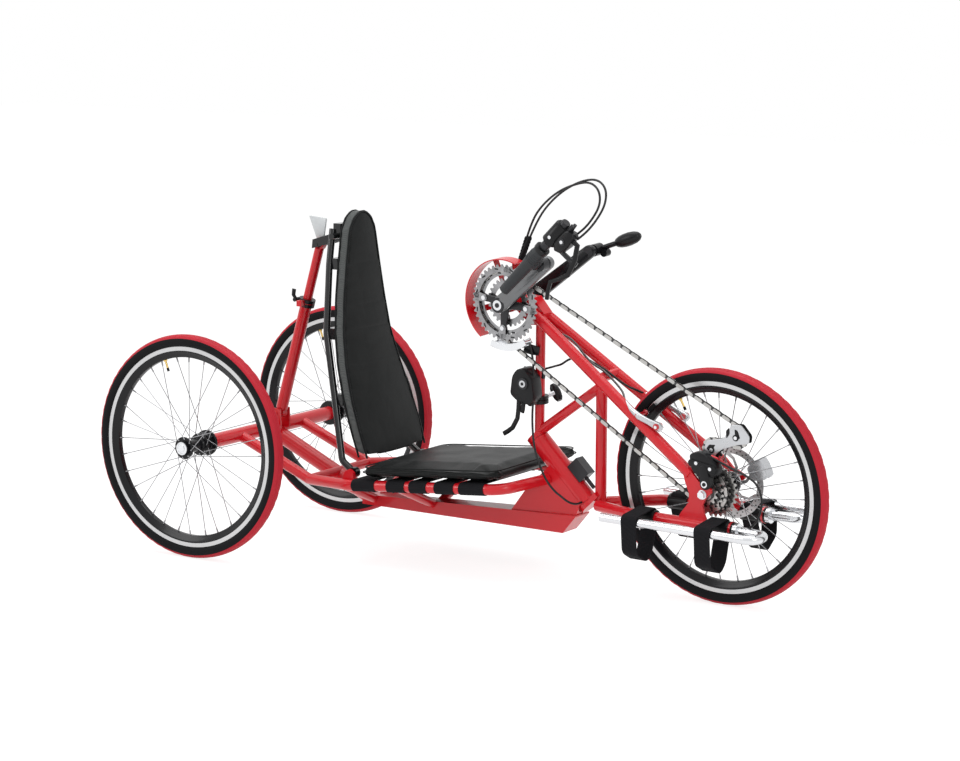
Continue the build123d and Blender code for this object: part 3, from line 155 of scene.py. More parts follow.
def end_group(tree, colour, roughness, relief, height, strength):
    """Ends a group: its relief becomes a normal, beside its colour and its roughness."""
    raised = add_node(tree, "Bump", {"Strength": strength, "Distance": height, "Height": relief})
    result = tree.nodes.new("NodeGroupOutput").inputs
    tree.links.new(colour, result["Colour"])
    tree.links.new(roughness, result["Roughness"])
    tree.links.new(raised.outputs["Normal"], result["Normal"])
    return tree


def blend_colours(tree, share, first, second):
    """The colour between two, by a share."""
    mixed = add_node(tree, "Mix", {"Factor": share, "A": first, "B": second}, data_type="RGBA")
    return mixed.outputs["Result"]


def uneven_surface():
    """Colour that drifts between two tones, roughness that varies, and a fine raised grain."""
    tree, given, place = new_group("uneven_surface", {
        "Colour": (0.5, 0.5, 0.5, 1), "Other Colour": (0.4, 0.4, 0.4, 1), "Drift Scale": 9.0,
        "Roughness": 0.4, "Roughness Spread": 0.1, "Grain Scale": 500.0, "Grain Height": 0.0001,
    })
    drift = add_node(tree, "TexNoise", {"Detail": 5, "Vector": place, "Scale": given["Drift Scale"]})
    colour = blend_colours(tree, drift.outputs["Fac"], given["Colour"], given["Other Colour"])
    smear = add_node(tree, "TexNoise", {"Scale": 34, "Detail": 6, "Vector": place})
    centred = add_node(tree, "Math", {0: smear.outputs["Fac"], 1: 0.5}, "SUBTRACT")
    shade = add_node(tree, "Math", {0: centred.outputs[0], 1: given["Roughness Spread"],
                                    2: given["Roughness"]}, "MULTIPLY_ADD")
    grain = add_node(tree, "TexNoise", {"Detail": 3, "Vector": place, "Scale": given["Grain Scale"]})
    return end_group(tree, colour, shade.outputs[0], grain.outputs["Fac"], given["Grain Height"], 0.6)


uneven = uneven_surface()


def finish(name, effect, values, metallic=0.0, coat=0.0, coat_roughness=0.05, specular=0.5):
    """A material whose colour, roughness and relief come from one shared effect."""
    made = bpy.data.materials.new(name)
    made.use_nodes = True
    shader = made.node_tree.nodes["Principled BSDF"]
    group = made.node_tree.nodes.new("ShaderNodeGroup")
    group.node_tree = effect
    for label, value in values.items():
        group.inputs[label].default_value = value
    made.node_tree.links.new(group.outputs["Colour"], shader.inputs["Base Color"])
    made.node_tree.links.new(group.outputs["Roughness"], shader.inputs["Roughness"])
    made.node_tree.links.new(group.outputs["Normal"], shader.inputs["Normal"])
    shader.inputs["Metallic"].default_value = metallic
    shader.inputs["Coat Weight"].default_value = coat
    shader.inputs["Coat Roughness"].default_value = coat_roughness
    shader.inputs["Specular IOR Level"].default_value = specular
    return made


def painted(name, bright, dark, rough, spread, grain, height, drift=9.0, **look):
    """A finish on the uneven surface: two tones, roughness and its spread, grain and its height."""
    values = {"Colour": (*bright, 1), "Other Colour": (*dark, 1), "Drift Scale": drift, "Roughness": rough,
              "Roughness Spread": spread, "Grain Scale": grain, "Grain Height": height}
    return finish(name, uneven, values, **look)


red_enamel = painted("red_enamel", (0.74, 0.008, 0.018), (0.66, 0.006, 0.014), 0.30, 0.08, 260, 0.00002,
                     coat=0.4, coat_roughness=0.04, specular=0.3)


def dress(finish_used, *nodes):
    """Gives CAD nodes whose shape stays their finish."""
    for node in nodes:
        frame["nodes"][node].material_slots[0].material = finish_used


dress(red_enamel, "axle_beam", "spine", "rear_stays", "boom", "head_tube", "seat_rails", "cross_tubes",
      "hinge_lugs", "steering_column", "mast", "crank_housing", "fork_blades", "fork_bridge",
      "diagonal", "foot_rails", "dropouts", "strut_lower", "strut_upper", "chain_guard")

# Wheels: a black tyre with a red tread and shoulders, a black rim with a bare brake track, and
# crossed steel spokes with nipples. Each is built about its own axle and then set on its joint.
TYRE_LINE = (
    (0.0, 262.0), (1.5, 262.0), (1.9, 261.3), (2.7, 261.2), (3.1, 261.8), (6.4, 261.3), (6.8, 260.6),
    (7.8, 260.3), (8.2, 260.9), (11.6, 259.2), (14.6, 256.0), (15.8, 253.7), (16.7, 251.4),
    (17.5, 246.0), (16.6, 240.6), (14.6, 236.6), (12.4, 234.6),
)
RIM_LINE = ((11.4, 236.0), (12.5, 235.4), (12.5, 225.4), (12.5, 222.4), (12.1, 221.6), (11.4, 220.9),
            (9.6, 214.6), (6.4, 209.4), (3.0, 208.8))
BAND_LOW = 254.3
TRACK_LOW = 225.4
SPOKE_PAIRS, SPOKE_LEAN, NIPPLES_AT = 8, 52, 210
FLANGE_HOLES_REAR, FLANGE_HOLES_FRONT = 22.2, 21
MM = Matrix.Scale(0.001, 4)
MIDDLE_AHEAD_OF_AXLE = 614.984
FIXED = MM @ Matrix.Translation(Vector((-MIDDLE_AHEAD_OF_AXLE, 0, 0)))
joints = {joint["name"]: joint for joint in frame["record"]["behaviour"]["joints"]}
PARK_TURN = math.radians(-5.484)
steer_at = Vector(joints["steering"]["pos_m"])
steer_axis = Vector(joints["steering"]["axis"]).normalized()
parked = Matrix.Rotation(PARK_TURN, 4, steer_axis)
turned = Matrix.Translation(steer_at) @ parked @ Matrix.Translation(-steer_at)
STEERED = turned @ FIXED

black_rubber = painted("tyre_rubber", (0.010, 0.010, 0.011), (0.006, 0.006, 0.007), 0.62, 0.2, 900,
                       0.00006, specular=0.1)
red_rubber = painted("red_sidewall", (0.60, 0.022, 0.040), (0.48, 0.015, 0.030), 0.55, 0.15, 700,
                     0.00004, specular=0.25)
machined = painted("machined_alloy", (0.66, 0.66, 0.66), (0.52, 0.52, 0.53), 0.34, 0.12, 1500, 0.00003,
                   metallic=0.75)
anodised = painted("black_anodised", (0.010, 0.010, 0.012), (0.006, 0.006, 0.007), 0.25, 0.1, 900,
                   0.00001, coat=0.08, specular=0.2)
bright_steel = painted("bright_steel", (0.80, 0.81, 0.83), (0.62, 0.63, 0.65), 0.2, 0.15, 1200, 0.00002,
                       metallic=1.0)
spoke_steel = painted("spoke_steel", (0.36, 0.36, 0.37), (0.24, 0.24, 0.25), 0.25, 0.15, 1200, 0.00002,
                      metallic=0.9)
brass = painted("brass", (0.80, 0.58, 0.20), (0.62, 0.42, 0.12), 0.3, 0.15, 1200, 0.00002, metallic=1.0)


def spin_line(mesh, line, steps, closed=False):
    """Turns a line of (y, radius) points round the Y axis."""
    made = [mesh.verts.new((0, y, r)) for y, r in line]
    pairs = list(zip(made, made[1:])) + ([(made[-1], made[0])] if closed else [])
    edges = [mesh.edges.new(pair) for pair in pairs]
    return bmesh.ops.spin(mesh, geom=made + edges, cent=(0, 0, 0), axis=(0, 1, 0), angle=math.tau,
                          steps=steps, use_merge=True)


def mirrored_line(line):
    """A section that is the same on both sides of the wheel's mid plane."""
    return [(y, r) for y, r in line] + [(-y, r) for y, r in reversed(line) if y > 0]


def piece(name, mesh, place, finishes, body, sharp=35, nodes=()):
    """Makes one object of a bmesh in place, smooth except over sharp edges, riding on its body."""
    bmesh.ops.remove_doubles(mesh, verts=mesh.verts, dist=1e-5)
    mesh.transform(place)
    bmesh.ops.recalc_face_normals(mesh, faces=mesh.faces)
    made = new_object(name, bpy.data.meshes.new(name))
    mesh.to_mesh(made.data)
    mesh.free()
    for used in finishes:
        made.data.materials.append(used)
    made.data.shade_smooth()
    made.data.set_sharp_from_angle(angle=math.radians(sharp))
    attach(made, body)
    if nodes:
        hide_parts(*nodes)
    return made


def on_joint(name, flip=1):
    """Places a thing built about the Y axis on a joint's line, for the left side mirrored."""
    joint = joints[name]
    lean = Vector((0, 1, 0)).rotation_difference(Vector(joint["axis"])).to_matrix().to_4x4()
    return Matrix.Translation(Vector(joint["pos_m"])) @ lean @ Matrix.Scale(flip, 4, (0, 1, 0)) @ MM


def second_finish(mesh, index, where):
    """Gives another finish to the faces whose middle passes a test of its y and its radius."""
    for face in mesh.faces:
        middle = face.calc_center_median()
        face.material_index = index if where(middle.y, math.hypot(middle.x, middle.z)) else 0


def tyre_mesh():
    """A tyre with a rib round its middle and shallow cuts across its shoulders."""
    mesh = bmesh.new()
    section = mirrored_line(TYRE_LINE)
    spin_line(mesh, section, 180, closed=True)
    bmesh.ops.remove_doubles(mesh, verts=mesh.verts, dist=1e-4)
    for vert in mesh.verts:
        radius = math.hypot(vert.co.x, vert.co.z)
        turn = round(math.degrees(math.atan2(vert.co.z, vert.co.x)) / 2)
        if 8.0 < abs(vert.co.y) < 12.0 and radius > 258 and turn % 3 == 0:
            vert.co.x *= 1 - 0.9 / radius
            vert.co.z *= 1 - 0.9 / radius
    second_finish(mesh, 1, lambda y, radius: radius > BAND_LOW)
    return mesh


def rim_mesh():
    """A box rim whose outer walls are bare over the brake track."""
    mesh = bmesh.new()
    spin_line(mesh, mirrored_line(RIM_LINE), 144, closed=True)
    second_finish(mesh, 1, lambda y, radius: abs(y) > 12.2 and radius > TRACK_LOW)
    return mesh


def bar(mesh, start, end, radius, sides=6, end_radius=None, index=0):
    """A round bar from start to end, tapering to end_radius if given."""
    start, end = Vector(start), Vector(end)
    turn = (end - start).to_track_quat("Z", "Y").to_matrix().to_4x4()
    place = Matrix.Translation((start + end) / 2) @ turn
    made = bmesh.ops.create_cone(mesh, cap_ends=True, segments=sides, radius1=radius,
                                 radius2=radius if end_radius is None else end_radius,
                                 depth=(end - start).length, matrix=place)
    for vert in made["verts"]:
        for face in vert.link_faces:
            face.material_index = index
    return made["verts"]


def stud(mesh, at, low, high, radius, sides=6, index=0):
    """A round bar across the machine at (x, z), from one depth to another."""
    return bar(mesh, (at[0], low, at[1]), (at[0], high, at[1]), radius, sides=sides, index=index)


def spokes_mesh(mesh, flanges, flange_radius, index=1):
    """Spokes laced three cross, from both flanges to the rim, each with its nipple and its hooked head."""
    per_side = 2 * SPOKE_PAIRS
    for side, flange in enumerate(flanges):
        for number in range(per_side):
            lean = math.radians(SPOKE_LEAN if number % 2 else -SPOKE_LEAN)
            at_rim = (number + 0.5 * side) * math.tau / per_side
            at_hub = at_rim + lean
            over = 2.1 if number % 2 else -2.1
            hub = flange_radius * Vector((math.cos(at_hub), 0, math.sin(at_hub)))
            hub.y = flange + over
            off_middle = 2.5 if side else -2.5
            rim = Vector((NIPPLES_AT * math.cos(at_rim), off_middle, NIPPLES_AT * math.sin(at_rim)))
            along = (rim - hub).normalized()
            bar(mesh, hub, rim - along * 9, 0.95, index=index)
            bar(mesh, rim - along * 12, rim, 1.7, end_radius=2.1, index=index)
            head, neck = Vector((0, 2.4 * over / 2.1, 0)), Vector((0, 0.8 * over / 2.1, 0))
            bar(mesh, hub - head, hub + neck, 1.9, index=index)


def valve(mesh, at_angle):
    """The tyre valve: a brass stem with its nut, and a knurled cap."""
    out = Vector((math.cos(at_angle), 0, math.sin(at_angle)))
    bar(mesh, out * NIPPLES_AT, out * 188, 2.4, sides=12, index=2)
    bar(mesh, out * 209, out * 206, 4.6, index=2)
    bar(mesh, out * 190, out * 182, 3.0, sides=12, index=3)


REAR_HUB_LINE = (
    (-34.0, 0), (-34.0, 7.0), (-33.4, 7.6), (-32.2, 7.6), (-32.2, 11), (-33.2, 11.6), (-33.2, 15.2),
    (-32.4, 16.6), (-29, 17), (-25.2, 17), (-25.2, 25.2), (-24.4, 26), (-21.6, 26), (-21, 25.2),
    (-20.6, 17.0), (-18, 14.5), (28, 14.5), (31.4, 17), (32, 25.2), (32.6, 26), (35.4, 26), (36, 25.2),
    (36.6, 18), (56, 18), (58, 21), (58, 29), (59, 30), (63.4, 30), (64, 29.2), (64, 12),
)


def rear_hub_mesh():
    """The hub with its dust cap, laced, with its eight bolts and the valve."""
    mesh = bmesh.new()
    spin_line(mesh, REAR_HUB_LINE, 64)
    second_finish(mesh, 4, lambda y, radius: y < -28.8 and radius < 15.8)
    spokes_mesh(mesh, (-23.3, 34), FLANGE_HOLES_REAR)
    for bolt in range(8):
        angle = bolt * math.tau / 8
        at = Vector((24 * math.cos(angle), 57.5, 24 * math.sin(angle)))
        bar(mesh, at + Vector((0, 1, 0)), at - Vector((0, 2.4, 0)), 2.6, sides=8, index=1)
    valve(mesh, math.radians(110))
    return mesh


for side, flip in (("right", 1), ("left", -1)):
    place = on_joint(f"wheel_{side}_turn", flip)
    piece(f"rear_tyre_dressed_{side}", tyre_mesh(), place, [black_rubber, red_rubber], f"wheel_{side}",
          nodes=(f"rear_tyre_{side}",), sharp=50)
    piece(f"rear_rim_dressed_{side}", rim_mesh(), place, [anodised, machined], f"wheel_{side}",
          nodes=(f"rear_rim_{side}",))
    piece(f"rear_hub_dressed_{side}", rear_hub_mesh(), place,
          [anodised, spoke_steel, brass, black_rubber, bright_steel], f"wheel_{side}",
          nodes=(f"rear_hub_{side}",))

place = on_joint("front_wheel_turn")
piece("front_tyre_dressed", tyre_mesh(), place, [black_rubber, red_rubber], "front_wheel",
      nodes=("front_tyre",), sharp=50)
piece("front_rim_dressed", rim_mesh(), place, [anodised, machined], "front_wheel", nodes=("front_rim",))

# Soft seat: bands of black webbing carry a thin foam board in black vinyl. The board is sewn from a
# top and a bottom panel that meet in a seam half way down its edge, so that it swells between seams.
CUSHION_REAR, CUSHION_FRONT, CUSHION_HALF = 388.0, 764.0, 184.0
CUSHION_THICK = 30.0
RAIL_REAR, RAIL_FRONT, RAIL_Y, TUBE = (345.0, 188.0), (762.0, 224.0), 170.0, 25.4
rail_rise = (RAIL_FRONT[1] - RAIL_REAR[1]) / (RAIL_FRONT[0] - RAIL_REAR[0])
rail_tilt = math.atan(rail_rise)


def rail_height(x):
    """The middle of a seat rail above the floor."""
    return RAIL_REAR[1] + (x - RAIL_REAR[0]) * rail_rise


def leathery_surface():
    """Vinyl: a pebbled grain between fine creases, with soft creases where it is pulled."""
    tree, given, place = new_group("leathery_surface", {
        "Colour": (0.02, 0.02, 0.02, 1), "Worn Colour": (0.05, 0.05, 0.05, 1), "Pebble Scale": 420.0,
        "Crease Scale": 14.0, "Roughness": 0.5, "Height": 0.0002,
    })
    pebbles = add_node(tree, "TexVoronoi", {"Vector": place, "Scale": given["Pebble Scale"]})
    pebbles.feature = "DISTANCE_TO_EDGE"
    creased = add_node(tree, "TexNoise", {"Detail": 7, "Distortion": 1.4, "Vector": place,
                                          "Scale": given["Crease Scale"]}).outputs["Fac"]
    relief = add_node(tree, "Math", {0: creased, 1: 5.0, 2: pebbles.outputs["Distance"]}, "MULTIPLY_ADD")
    worn = add_node(tree, "MapRange", {"From Min": 0.35, "From Max": 0.75, "Value": creased})
    colour = blend_colours(tree, worn.outputs[0], given["Colour"], given["Worn Colour"])
    shade = add_node(tree, "Math", {0: creased, 1: 0.16, 2: given["Roughness"]}, "MULTIPLY_ADD")
    return end_group(tree, colour, shade.outputs[0], relief.outputs[0], given["Height"], 0.5)


def woven_surface():
    """Webbing or cloth: threads over and under each other, in Object coordinates."""
    tree, given, place = new_group("woven_surface", {
        "Colour": (0.02, 0.02, 0.02, 1), "Thread Colour": (0.05, 0.05, 0.05, 1), "Threads": 400.0,
        "Roughness": 0.8, "Height": 0.0003,
    })
    bands = []
    for direction in ("X", "Y", "Z"):
        band = add_node(tree, "TexWave", {"Distortion": 0.3, "Vector": place, "Scale": given["Threads"]})
        band.bands_direction = direction
        bands.append(band.outputs["Fac"])
    crossed = add_node(tree, "Math", {0: bands[0], 1: bands[1]}, "MULTIPLY").outputs[0]
    whole = add_node(tree, "Math", {0: crossed, 1: bands[2]}, "ADD").outputs[0]
    colour = blend_colours(tree, crossed, given["Colour"], given["Thread Colour"])
    fuzz = add_node(tree, "Math", {0: whole, 1: 0.1, 2: given["Roughness"]}, "MULTIPLY_ADD")
    return end_group(tree, colour, fuzz.outputs[0], whole, given["Height"], 0.7)


leathery, woven = leathery_surface(), woven_surface()
black_vinyl = finish("black_vinyl", leathery, {
    "Colour": (0.005, 0.006, 0.006, 1), "Worn Colour": (0.012, 0.013, 0.013, 1), "Roughness": 0.36,
    "Height": 0.00025,
}, specular=0.12)
black_webbing = finish("black_webbing", woven, {
    "Colour": (0.010, 0.010, 0.012, 1), "Thread Colour": (0.016, 0.016, 0.018, 1), "Threads": 260.0,
}, specular=0.15)
grey_gusset = finish("grey_gusset", woven, {
    "Colour": (0.085, 0.092, 0.090, 1), "Thread Colour": (0.155, 0.162, 0.160, 1), "Threads": 340.0,
    "Roughness": 0.6,
}, specular=0.25)


def swollen(name, shell, place, seam, fixed, swell, most, voxel=0.0055):
    """A stuffed cover: remeshed evenly, blown up as cloth while the seam stays, and held to a limit."""
    shell.transform(place)
    bmesh.ops.recalc_face_normals(shell, faces=shell.faces)
    rough = new_object(name + "_start", bpy.data.meshes.new(name + "_start"))
    shell.to_mesh(rough.data)
    shell.free()
    even = rough.modifiers.new("even", "REMESH")
    even.mode = "VOXEL"
    even.voxel_size = voxel
    graph = bpy.context.evaluated_depsgraph_get()
    made = new_object(name, bpy.data.meshes.new_from_object(rough.evaluated_get(graph)))
    bpy.data.objects.remove(rough)
    before = [vert.co.copy() for vert in made.data.vertices]
    held = made.vertex_groups.new(name="seam")
    for vert in made.data.vertices:
        weight = seam(vert.co)
        if weight > 0:
            held.add([vert.index], weight, "REPLACE")
    cloth = made.modifiers.new("cloth", "CLOTH")
    cloth.settings.vertex_group_mass = "seam"
    cloth.settings.use_pressure = True
    cloth.settings.uniform_pressure_force = swell
    cloth.settings.quality = 4
    cloth.settings.mass = 0.25
    cloth.settings.tension_stiffness = 22
    cloth.settings.compression_stiffness = 12
    cloth.settings.bending_stiffness = 0.6
    cloth.settings.effector_weights.gravity = 0
    for step in range(1, 21):
        bpy.context.scene.frame_set(step)
    graph = bpy.context.evaluated_depsgraph_get()
    after = [vert.co.copy() for vert in made.evaluated_get(graph).data.vertices]
    made.modifiers.remove(cloth)
    bpy.context.scene.frame_set(1)
    for vert, start, end in zip(made.data.vertices, before, after):
        moved = end - start
        vert.co = fixed(start + moved * min(1, most / max(moved.length, 1e-9)))
    made.vertex_groups.clear()
    return made


def end_cover(cover, body, node):
    """The last steps of both covers: smooth, on their body, in place of their node."""
    cover.data.shade_smooth()
    rounded = cover.modifiers.new("smooth", "SUBSURF")
    rounded.levels = rounded.render_levels = 1
    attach(cover, body)
    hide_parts(node)


def cushion_shell():
    """The board before it swells, along X and Y, with its mid plane at zero."""
    mesh = bmesh.new()
    inset = 4.0
    half_long = (CUSHION_FRONT - CUSHION_REAR) / 2 - inset
    half_wide = CUSHION_HALF - inset
    half_thick = CUSHION_THICK / 2 - 5.0
    bmesh.ops.create_cube(mesh, size=2, matrix=Matrix.Diagonal((half_long, half_wide, half_thick, 1)))
    upright = [edge for edge in mesh.edges if abs(edge.verts[0].co.z - edge.verts[1].co.z) > 1]
    bmesh.ops.bevel(mesh, geom=upright, offset=26, segments=6, profile=0.5, affect="EDGES", material=-1)
    return mesh


cushion_mid = (CUSHION_REAR + CUSHION_FRONT) / 2
cushion_up = TUBE / 2 + 3.6 + CUSHION_THICK / 2
cushion_place = FIXED @ Matrix.Translation((cushion_mid, 0, rail_height(cushion_mid))) @ Matrix.Rotation(
    -rail_tilt, 4, "Y") @ Matrix.Translation((0, 0, cushion_up))
cushion_home = cushion_place.inverted()


def cushion_seam(at):
    """Holds a narrow band half way down the cushion's edge."""
    spot = cushion_home @ at
    inside = (spot.x / 184.0) ** 12 + (spot.y / 180.0) ** 12
    return 1.0 if abs(spot.z) < 3.2 and inside > 0.55 else 0.0


def cushion_rests(end):
    """Flat underneath, where it lies on the webbing, and a little wavy on top."""
    spot = cushion_home @ end
    spot.z = max(spot.z, -CUSHION_THICK / 2 + 0.4)
    if spot.z > 0:
        wave = noise.noise(Vector((spot.x * 0.013, spot.y * 0.016, 0)))
        spot.z += 1.5 * wave * min(1, (190 - abs(spot.y)) / 40)
    return cushion_place @ spot


cushion = swollen("seat_cushion_padded", cushion_shell(), cushion_place, cushion_seam, cushion_rests,
                  4.0, 0.009)
cushion.data.materials.append(black_vinyl)
end_cover(cushion, "frame", "seat_cushion")


def tube_along(mesh, points, radius, sides=8, closed=False, index=0):
    """A thin tube whose middle runs through the points in order."""
    spots = [Vector(point) for point in points]
    rings = []
    across = None
    for number, spot in enumerate(spots):
        last = number == len(spots) - 1
        before = spots[number - 1] if number or closed else spot
        after = spots[(number + 1) % len(spots)] if not last or closed else spot
        along = (after - before).normalized()
        across = along.orthogonal() if across is None else across - along * across.dot(along)
        across.normalize()
        turn = Matrix((across, along.cross(across), along)).transposed().to_4x4()
        circle = bmesh.ops.create_circle(mesh, segments=sides, radius=radius,
                                         matrix=Matrix.Translation(spot) @ turn)
        rings.append(list({edge for vert in circle["verts"] for edge in vert.link_edges}))
    made = []
    for first, second in zip(rings, rings[1:] + ([rings[0]] if closed else [])):
        made += bmesh.ops.bridge_loops(mesh, edges=first + second)["faces"]
    if not closed:
        for ring in (rings[0], rings[-1]):
            made += bmesh.ops.edgeloop_fill(mesh, edges=ring)["faces"]
    for face in made:
        face.material_index = index


def rounded_outline(half_long, half_wide, corner, steps=7):
    """Points round a rectangle with rounded corners."""
    points = []
    for quarter, (sx, sy) in enumerate(((1, 1), (-1, 1), (-1, -1), (1, -1))):
        middle = Vector((sx * (half_long - corner), sy * (half_wide - corner), 0))
        for step in range(steps):
            angle = (quarter + step / (steps - 1)) * math.pi / 2
            points.append(middle + Vector((corner * math.cos(angle), corner * math.sin(angle), 0)))
    return points


welt = bmesh.new()
for level, inset in ((0.0, 1.2), (CUSHION_THICK / 2 - 3.6, 5.5)):
    outline = rounded_outline((CUSHION_FRONT - CUSHION_REAR) / 2 - inset, CUSHION_HALF - inset, 27, 7)
    tube_along(welt, [point + Vector((0, 0, level)) for point in outline], 1.5, sides=6, closed=True)
piece("seat_cushion_welt", welt, cushion_place, [black_vinyl], "frame", sharp=80)

# The webbing bands lie over the rails, wrap round them and are sewn to themselves.
BANDS = ((366, 429), (462, 511), (524, 570), (592, 643), (657, 722))
WEB_THICK = 2.4


def points_in(geometry):
    """The points among what an operator returns."""
    return [item for item in geometry if isinstance(item, bmesh.types.BMVert)]


def sling_band(mesh, start, end):
    """One band's middle surface: round one rail, over to the other with a little slack, and round it."""
    reach = TUBE / 2 + 0.3 + WEB_THICK / 2
    wrap = [(-RAIL_Y + reach * math.cos(math.radians(turn)), reach * math.sin(math.radians(turn)))
            for turn in range(-60, -271, -15)]
    span = [(y, reach - 0.6 * math.cos(math.pi * y / (2 * RAIL_Y))) for y in range(-160, 161, 20)]
    line = wrap + span + [(-y, z) for y, z in reversed(wrap)]
    middle, length = (start + end) / 2, (end - start) / math.cos(rail_tilt)
    place = Matrix.Translation((middle, 0, rail_height(middle))) @ Matrix.Rotation(-rail_tilt, 4, "Y")
    verts = [mesh.verts.new(place @ Vector((-length / 2, y, z))) for y, z in line]
    edges = [mesh.edges.new(pair) for pair in zip(verts, verts[1:])]
    grown = bmesh.ops.extrude_edge_only(mesh, edges=edges)["geom"]
    bmesh.ops.translate(mesh, vec=place.to_3x3() @ Vector((length, 0, 0)), verts=points_in(grown))


slings = bmesh.new()
for start, end in BANDS:
    sling_band(slings, start, end)
bmesh.ops.recalc_face_normals(slings, faces=slings.faces)
bmesh.ops.solidify(slings, geom=slings.faces, thickness=WEB_THICK)
piece("seat_sling_webbing", slings, FIXED, [black_webbing], "frame", nodes=("seat_sling",),
      sharp=60)

# Backrest: a tall foam pad in vinyl, broad at the hips, with a woven gusset let in round its edge.
# It lies on a bent black tube frame with flat cross slats.
BACK = (
    (240, 377, 124), (300, 358, 127), (372, 333, 124), (450, 308, 112), (520, 292, 99), (600, 284, 86),
    (680, 280, 71), (760, 278, 55), (806, 278, 38),
)
PAD_THICK = 40.0
LEAN_TOP, LEAN_LOW = BACK[-1][0], BACK[0][0]


def back_at(height):
    """The pad's front and half width at a height, from the table, eased between its rows."""
    rows = list(zip(BACK, BACK[1:]))
    low, high = next((pair for pair in rows if height <= pair[1][0]), rows[-1])
    share = max(0.0, min(1.0, (height - low[0]) / (high[0] - low[0])))
    return low[1] + (high[1] - low[1]) * share, low[2] + (high[2] - low[2]) * share


def back_shell():
    """The pad before it swells, its top corners rounded down and its foot a little."""
    mesh = bmesh.new()
    bmesh.ops.create_cube(mesh, size=1)
    for axis, cuts in ((2, 47), (1, 17)):
        long_edges = [e for e in mesh.edges if abs(e.verts[0].co[axis] - e.verts[1].co[axis]) > 0.1]
        bmesh.ops.subdivide_edges(mesh, edges=long_edges, cuts=cuts, use_grid_fill=True)
    inset, thin = 4.0, PAD_THICK / 2 - 6.0
    for vert in mesh.verts:
        share = vert.co.z + 0.5
        height = LEAN_LOW + inset + (LEAN_TOP - LEAN_LOW - 2 * inset) * share
        front, half = back_at(height)
        across = vert.co.y * 2
        crown = 34 * max(0.0, share - 0.93) / 0.07 * across * across * 0.5
        foot = 10 * max(0.0, 0.03 - share) / 0.03 * across * across
        depth = front - PAD_THICK / 2 + vert.co.x * 2 * thin
        vert.co = Vector((depth, across * (half - inset), height - crown + foot))
    return mesh


def back_seam(at):
    """Holds the two seams on either side of the gusset."""
    spot = FIXED.inverted() @ at
    front, half = back_at(spot.z)
    depth = front - spot.x
    near_edge = abs(spot.y) > half - 9 or spot.z > LEAN_TOP - 9 or spot.z < LEAN_LOW + 9
    return 0.9 if near_edge and (abs(depth - 9) < 3.2 or abs(depth - 31) < 3.2) else 0.0


def back_rests(end):
    """Flat behind, where it lies on the frame, kept in its outline, with a slightly puckered gusset."""
    spot = FIXED.inverted() @ end
    front, half = back_at(spot.z)
    spot.x = max(spot.x, front - PAD_THICK + 0.5)
    spot.y = max(-half - 3, min(half + 3, spot.y))
    spot.z = max(LEAN_LOW + 0.5, spot.z)
    depth = front - spot.x
    if 10 < depth < 30 and abs(spot.y) > half - 12:
        spot.y += 1.1 * noise.noise(Vector((spot.z * 0.12, depth * 0.03, math.copysign(3, spot.y))))
    return FIXED @ spot


back = swollen("back_pad_padded", back_shell(), FIXED, back_seam, back_rests, 4.0, 0.012)
back.data.materials.append(black_vinyl)
back.data.materials.append(grey_gusset)
unfix = FIXED.inverted()
for face in back.data.polygons:
    spot = unfix @ face.center
    front, half = back_at(spot.z)
    sideways = abs(face.normal.y) > 0.45 or spot.z > LEAN_TOP - 30 and face.normal.z > 0.4
    if sideways and 9 < front - spot.x < 31 and spot.z > LEAN_LOW + 14:
        face.material_index = 1

# A round piping is sewn in along both edges of the gusset, up one side, over the top and down the other.
piping = bmesh.new()
for depth in (8.0, 31.5):
    line = []
    for step in range(33):
        share = step / 32
        height = LEAN_LOW + 4 + (LEAN_TOP - LEAN_LOW - 8) * share
        front, half = back_at(height)
        line.append((front - depth, half - 4.4, height - 17 * max(0.0, share - 0.93) / 0.07))
    top = [(line[-1][0], line[-1][1] * side, LEAN_TOP - 4.5 - 17 * side * side)
           for side in (0.8, 0.5, 0.2, -0.2, -0.5, -0.8)]
    tube_along(piping, line + top + [(x, -y, z) for x, y, z in reversed(line)], 2.6, sides=8)
piece("back_pad_piping", piping, FIXED, [black_vinyl], "backrest", sharp=80)
end_cover(back, "backrest", "back_pad")

# Front hub: a black shell with a flange on each side, laced like the rear wheels, on a plain steel
# axle with a washer and a nut outside each dropout.
AXLE = (1231.2, 262.709)
FRONT_HUB_LINE = (
    (-66, 6), (-66, 9), (-24, 9), (-24, 16), (-22.5, 16), (-22, 22.5), (-21, 23.5), (-19, 23.5),
    (-18, 22.5), (-18, 15), (26, 15), (26, 25), (27, 26), (29, 26), (30, 25), (30, 20), (44, 20),
    (44, 9), (66, 9), (66, 6),
)


def front_hub_mesh():
    """The front hub, laced, with the valve."""
    mesh = bmesh.new()
    spin_line(mesh, FRONT_HUB_LINE, 48)
    spokes_mesh(mesh, (-20, 28), FLANGE_HOLES_FRONT)
    valve(mesh, math.radians(118))
    return mesh


piece("front_hub_dressed", front_hub_mesh(), on_joint("front_wheel_turn"),
      [anodised, spoke_steel, brass, black_rubber], "front_wheel", nodes=("front_hub",))
axle = bmesh.new()
stud(axle, AXLE, -76, 76, 4.7, sides=16)
for side in (-1, 1):
    stud(axle, AXLE, side * 74.2, side * 76, 10.5, sides=24)
    stud(axle, AXLE, side * 76, side * 83, 8.6)
piece("front_axle_dressed", axle, STEERED, [bright_steel], "front_unit", nodes=("front_axle",), sharp=25)

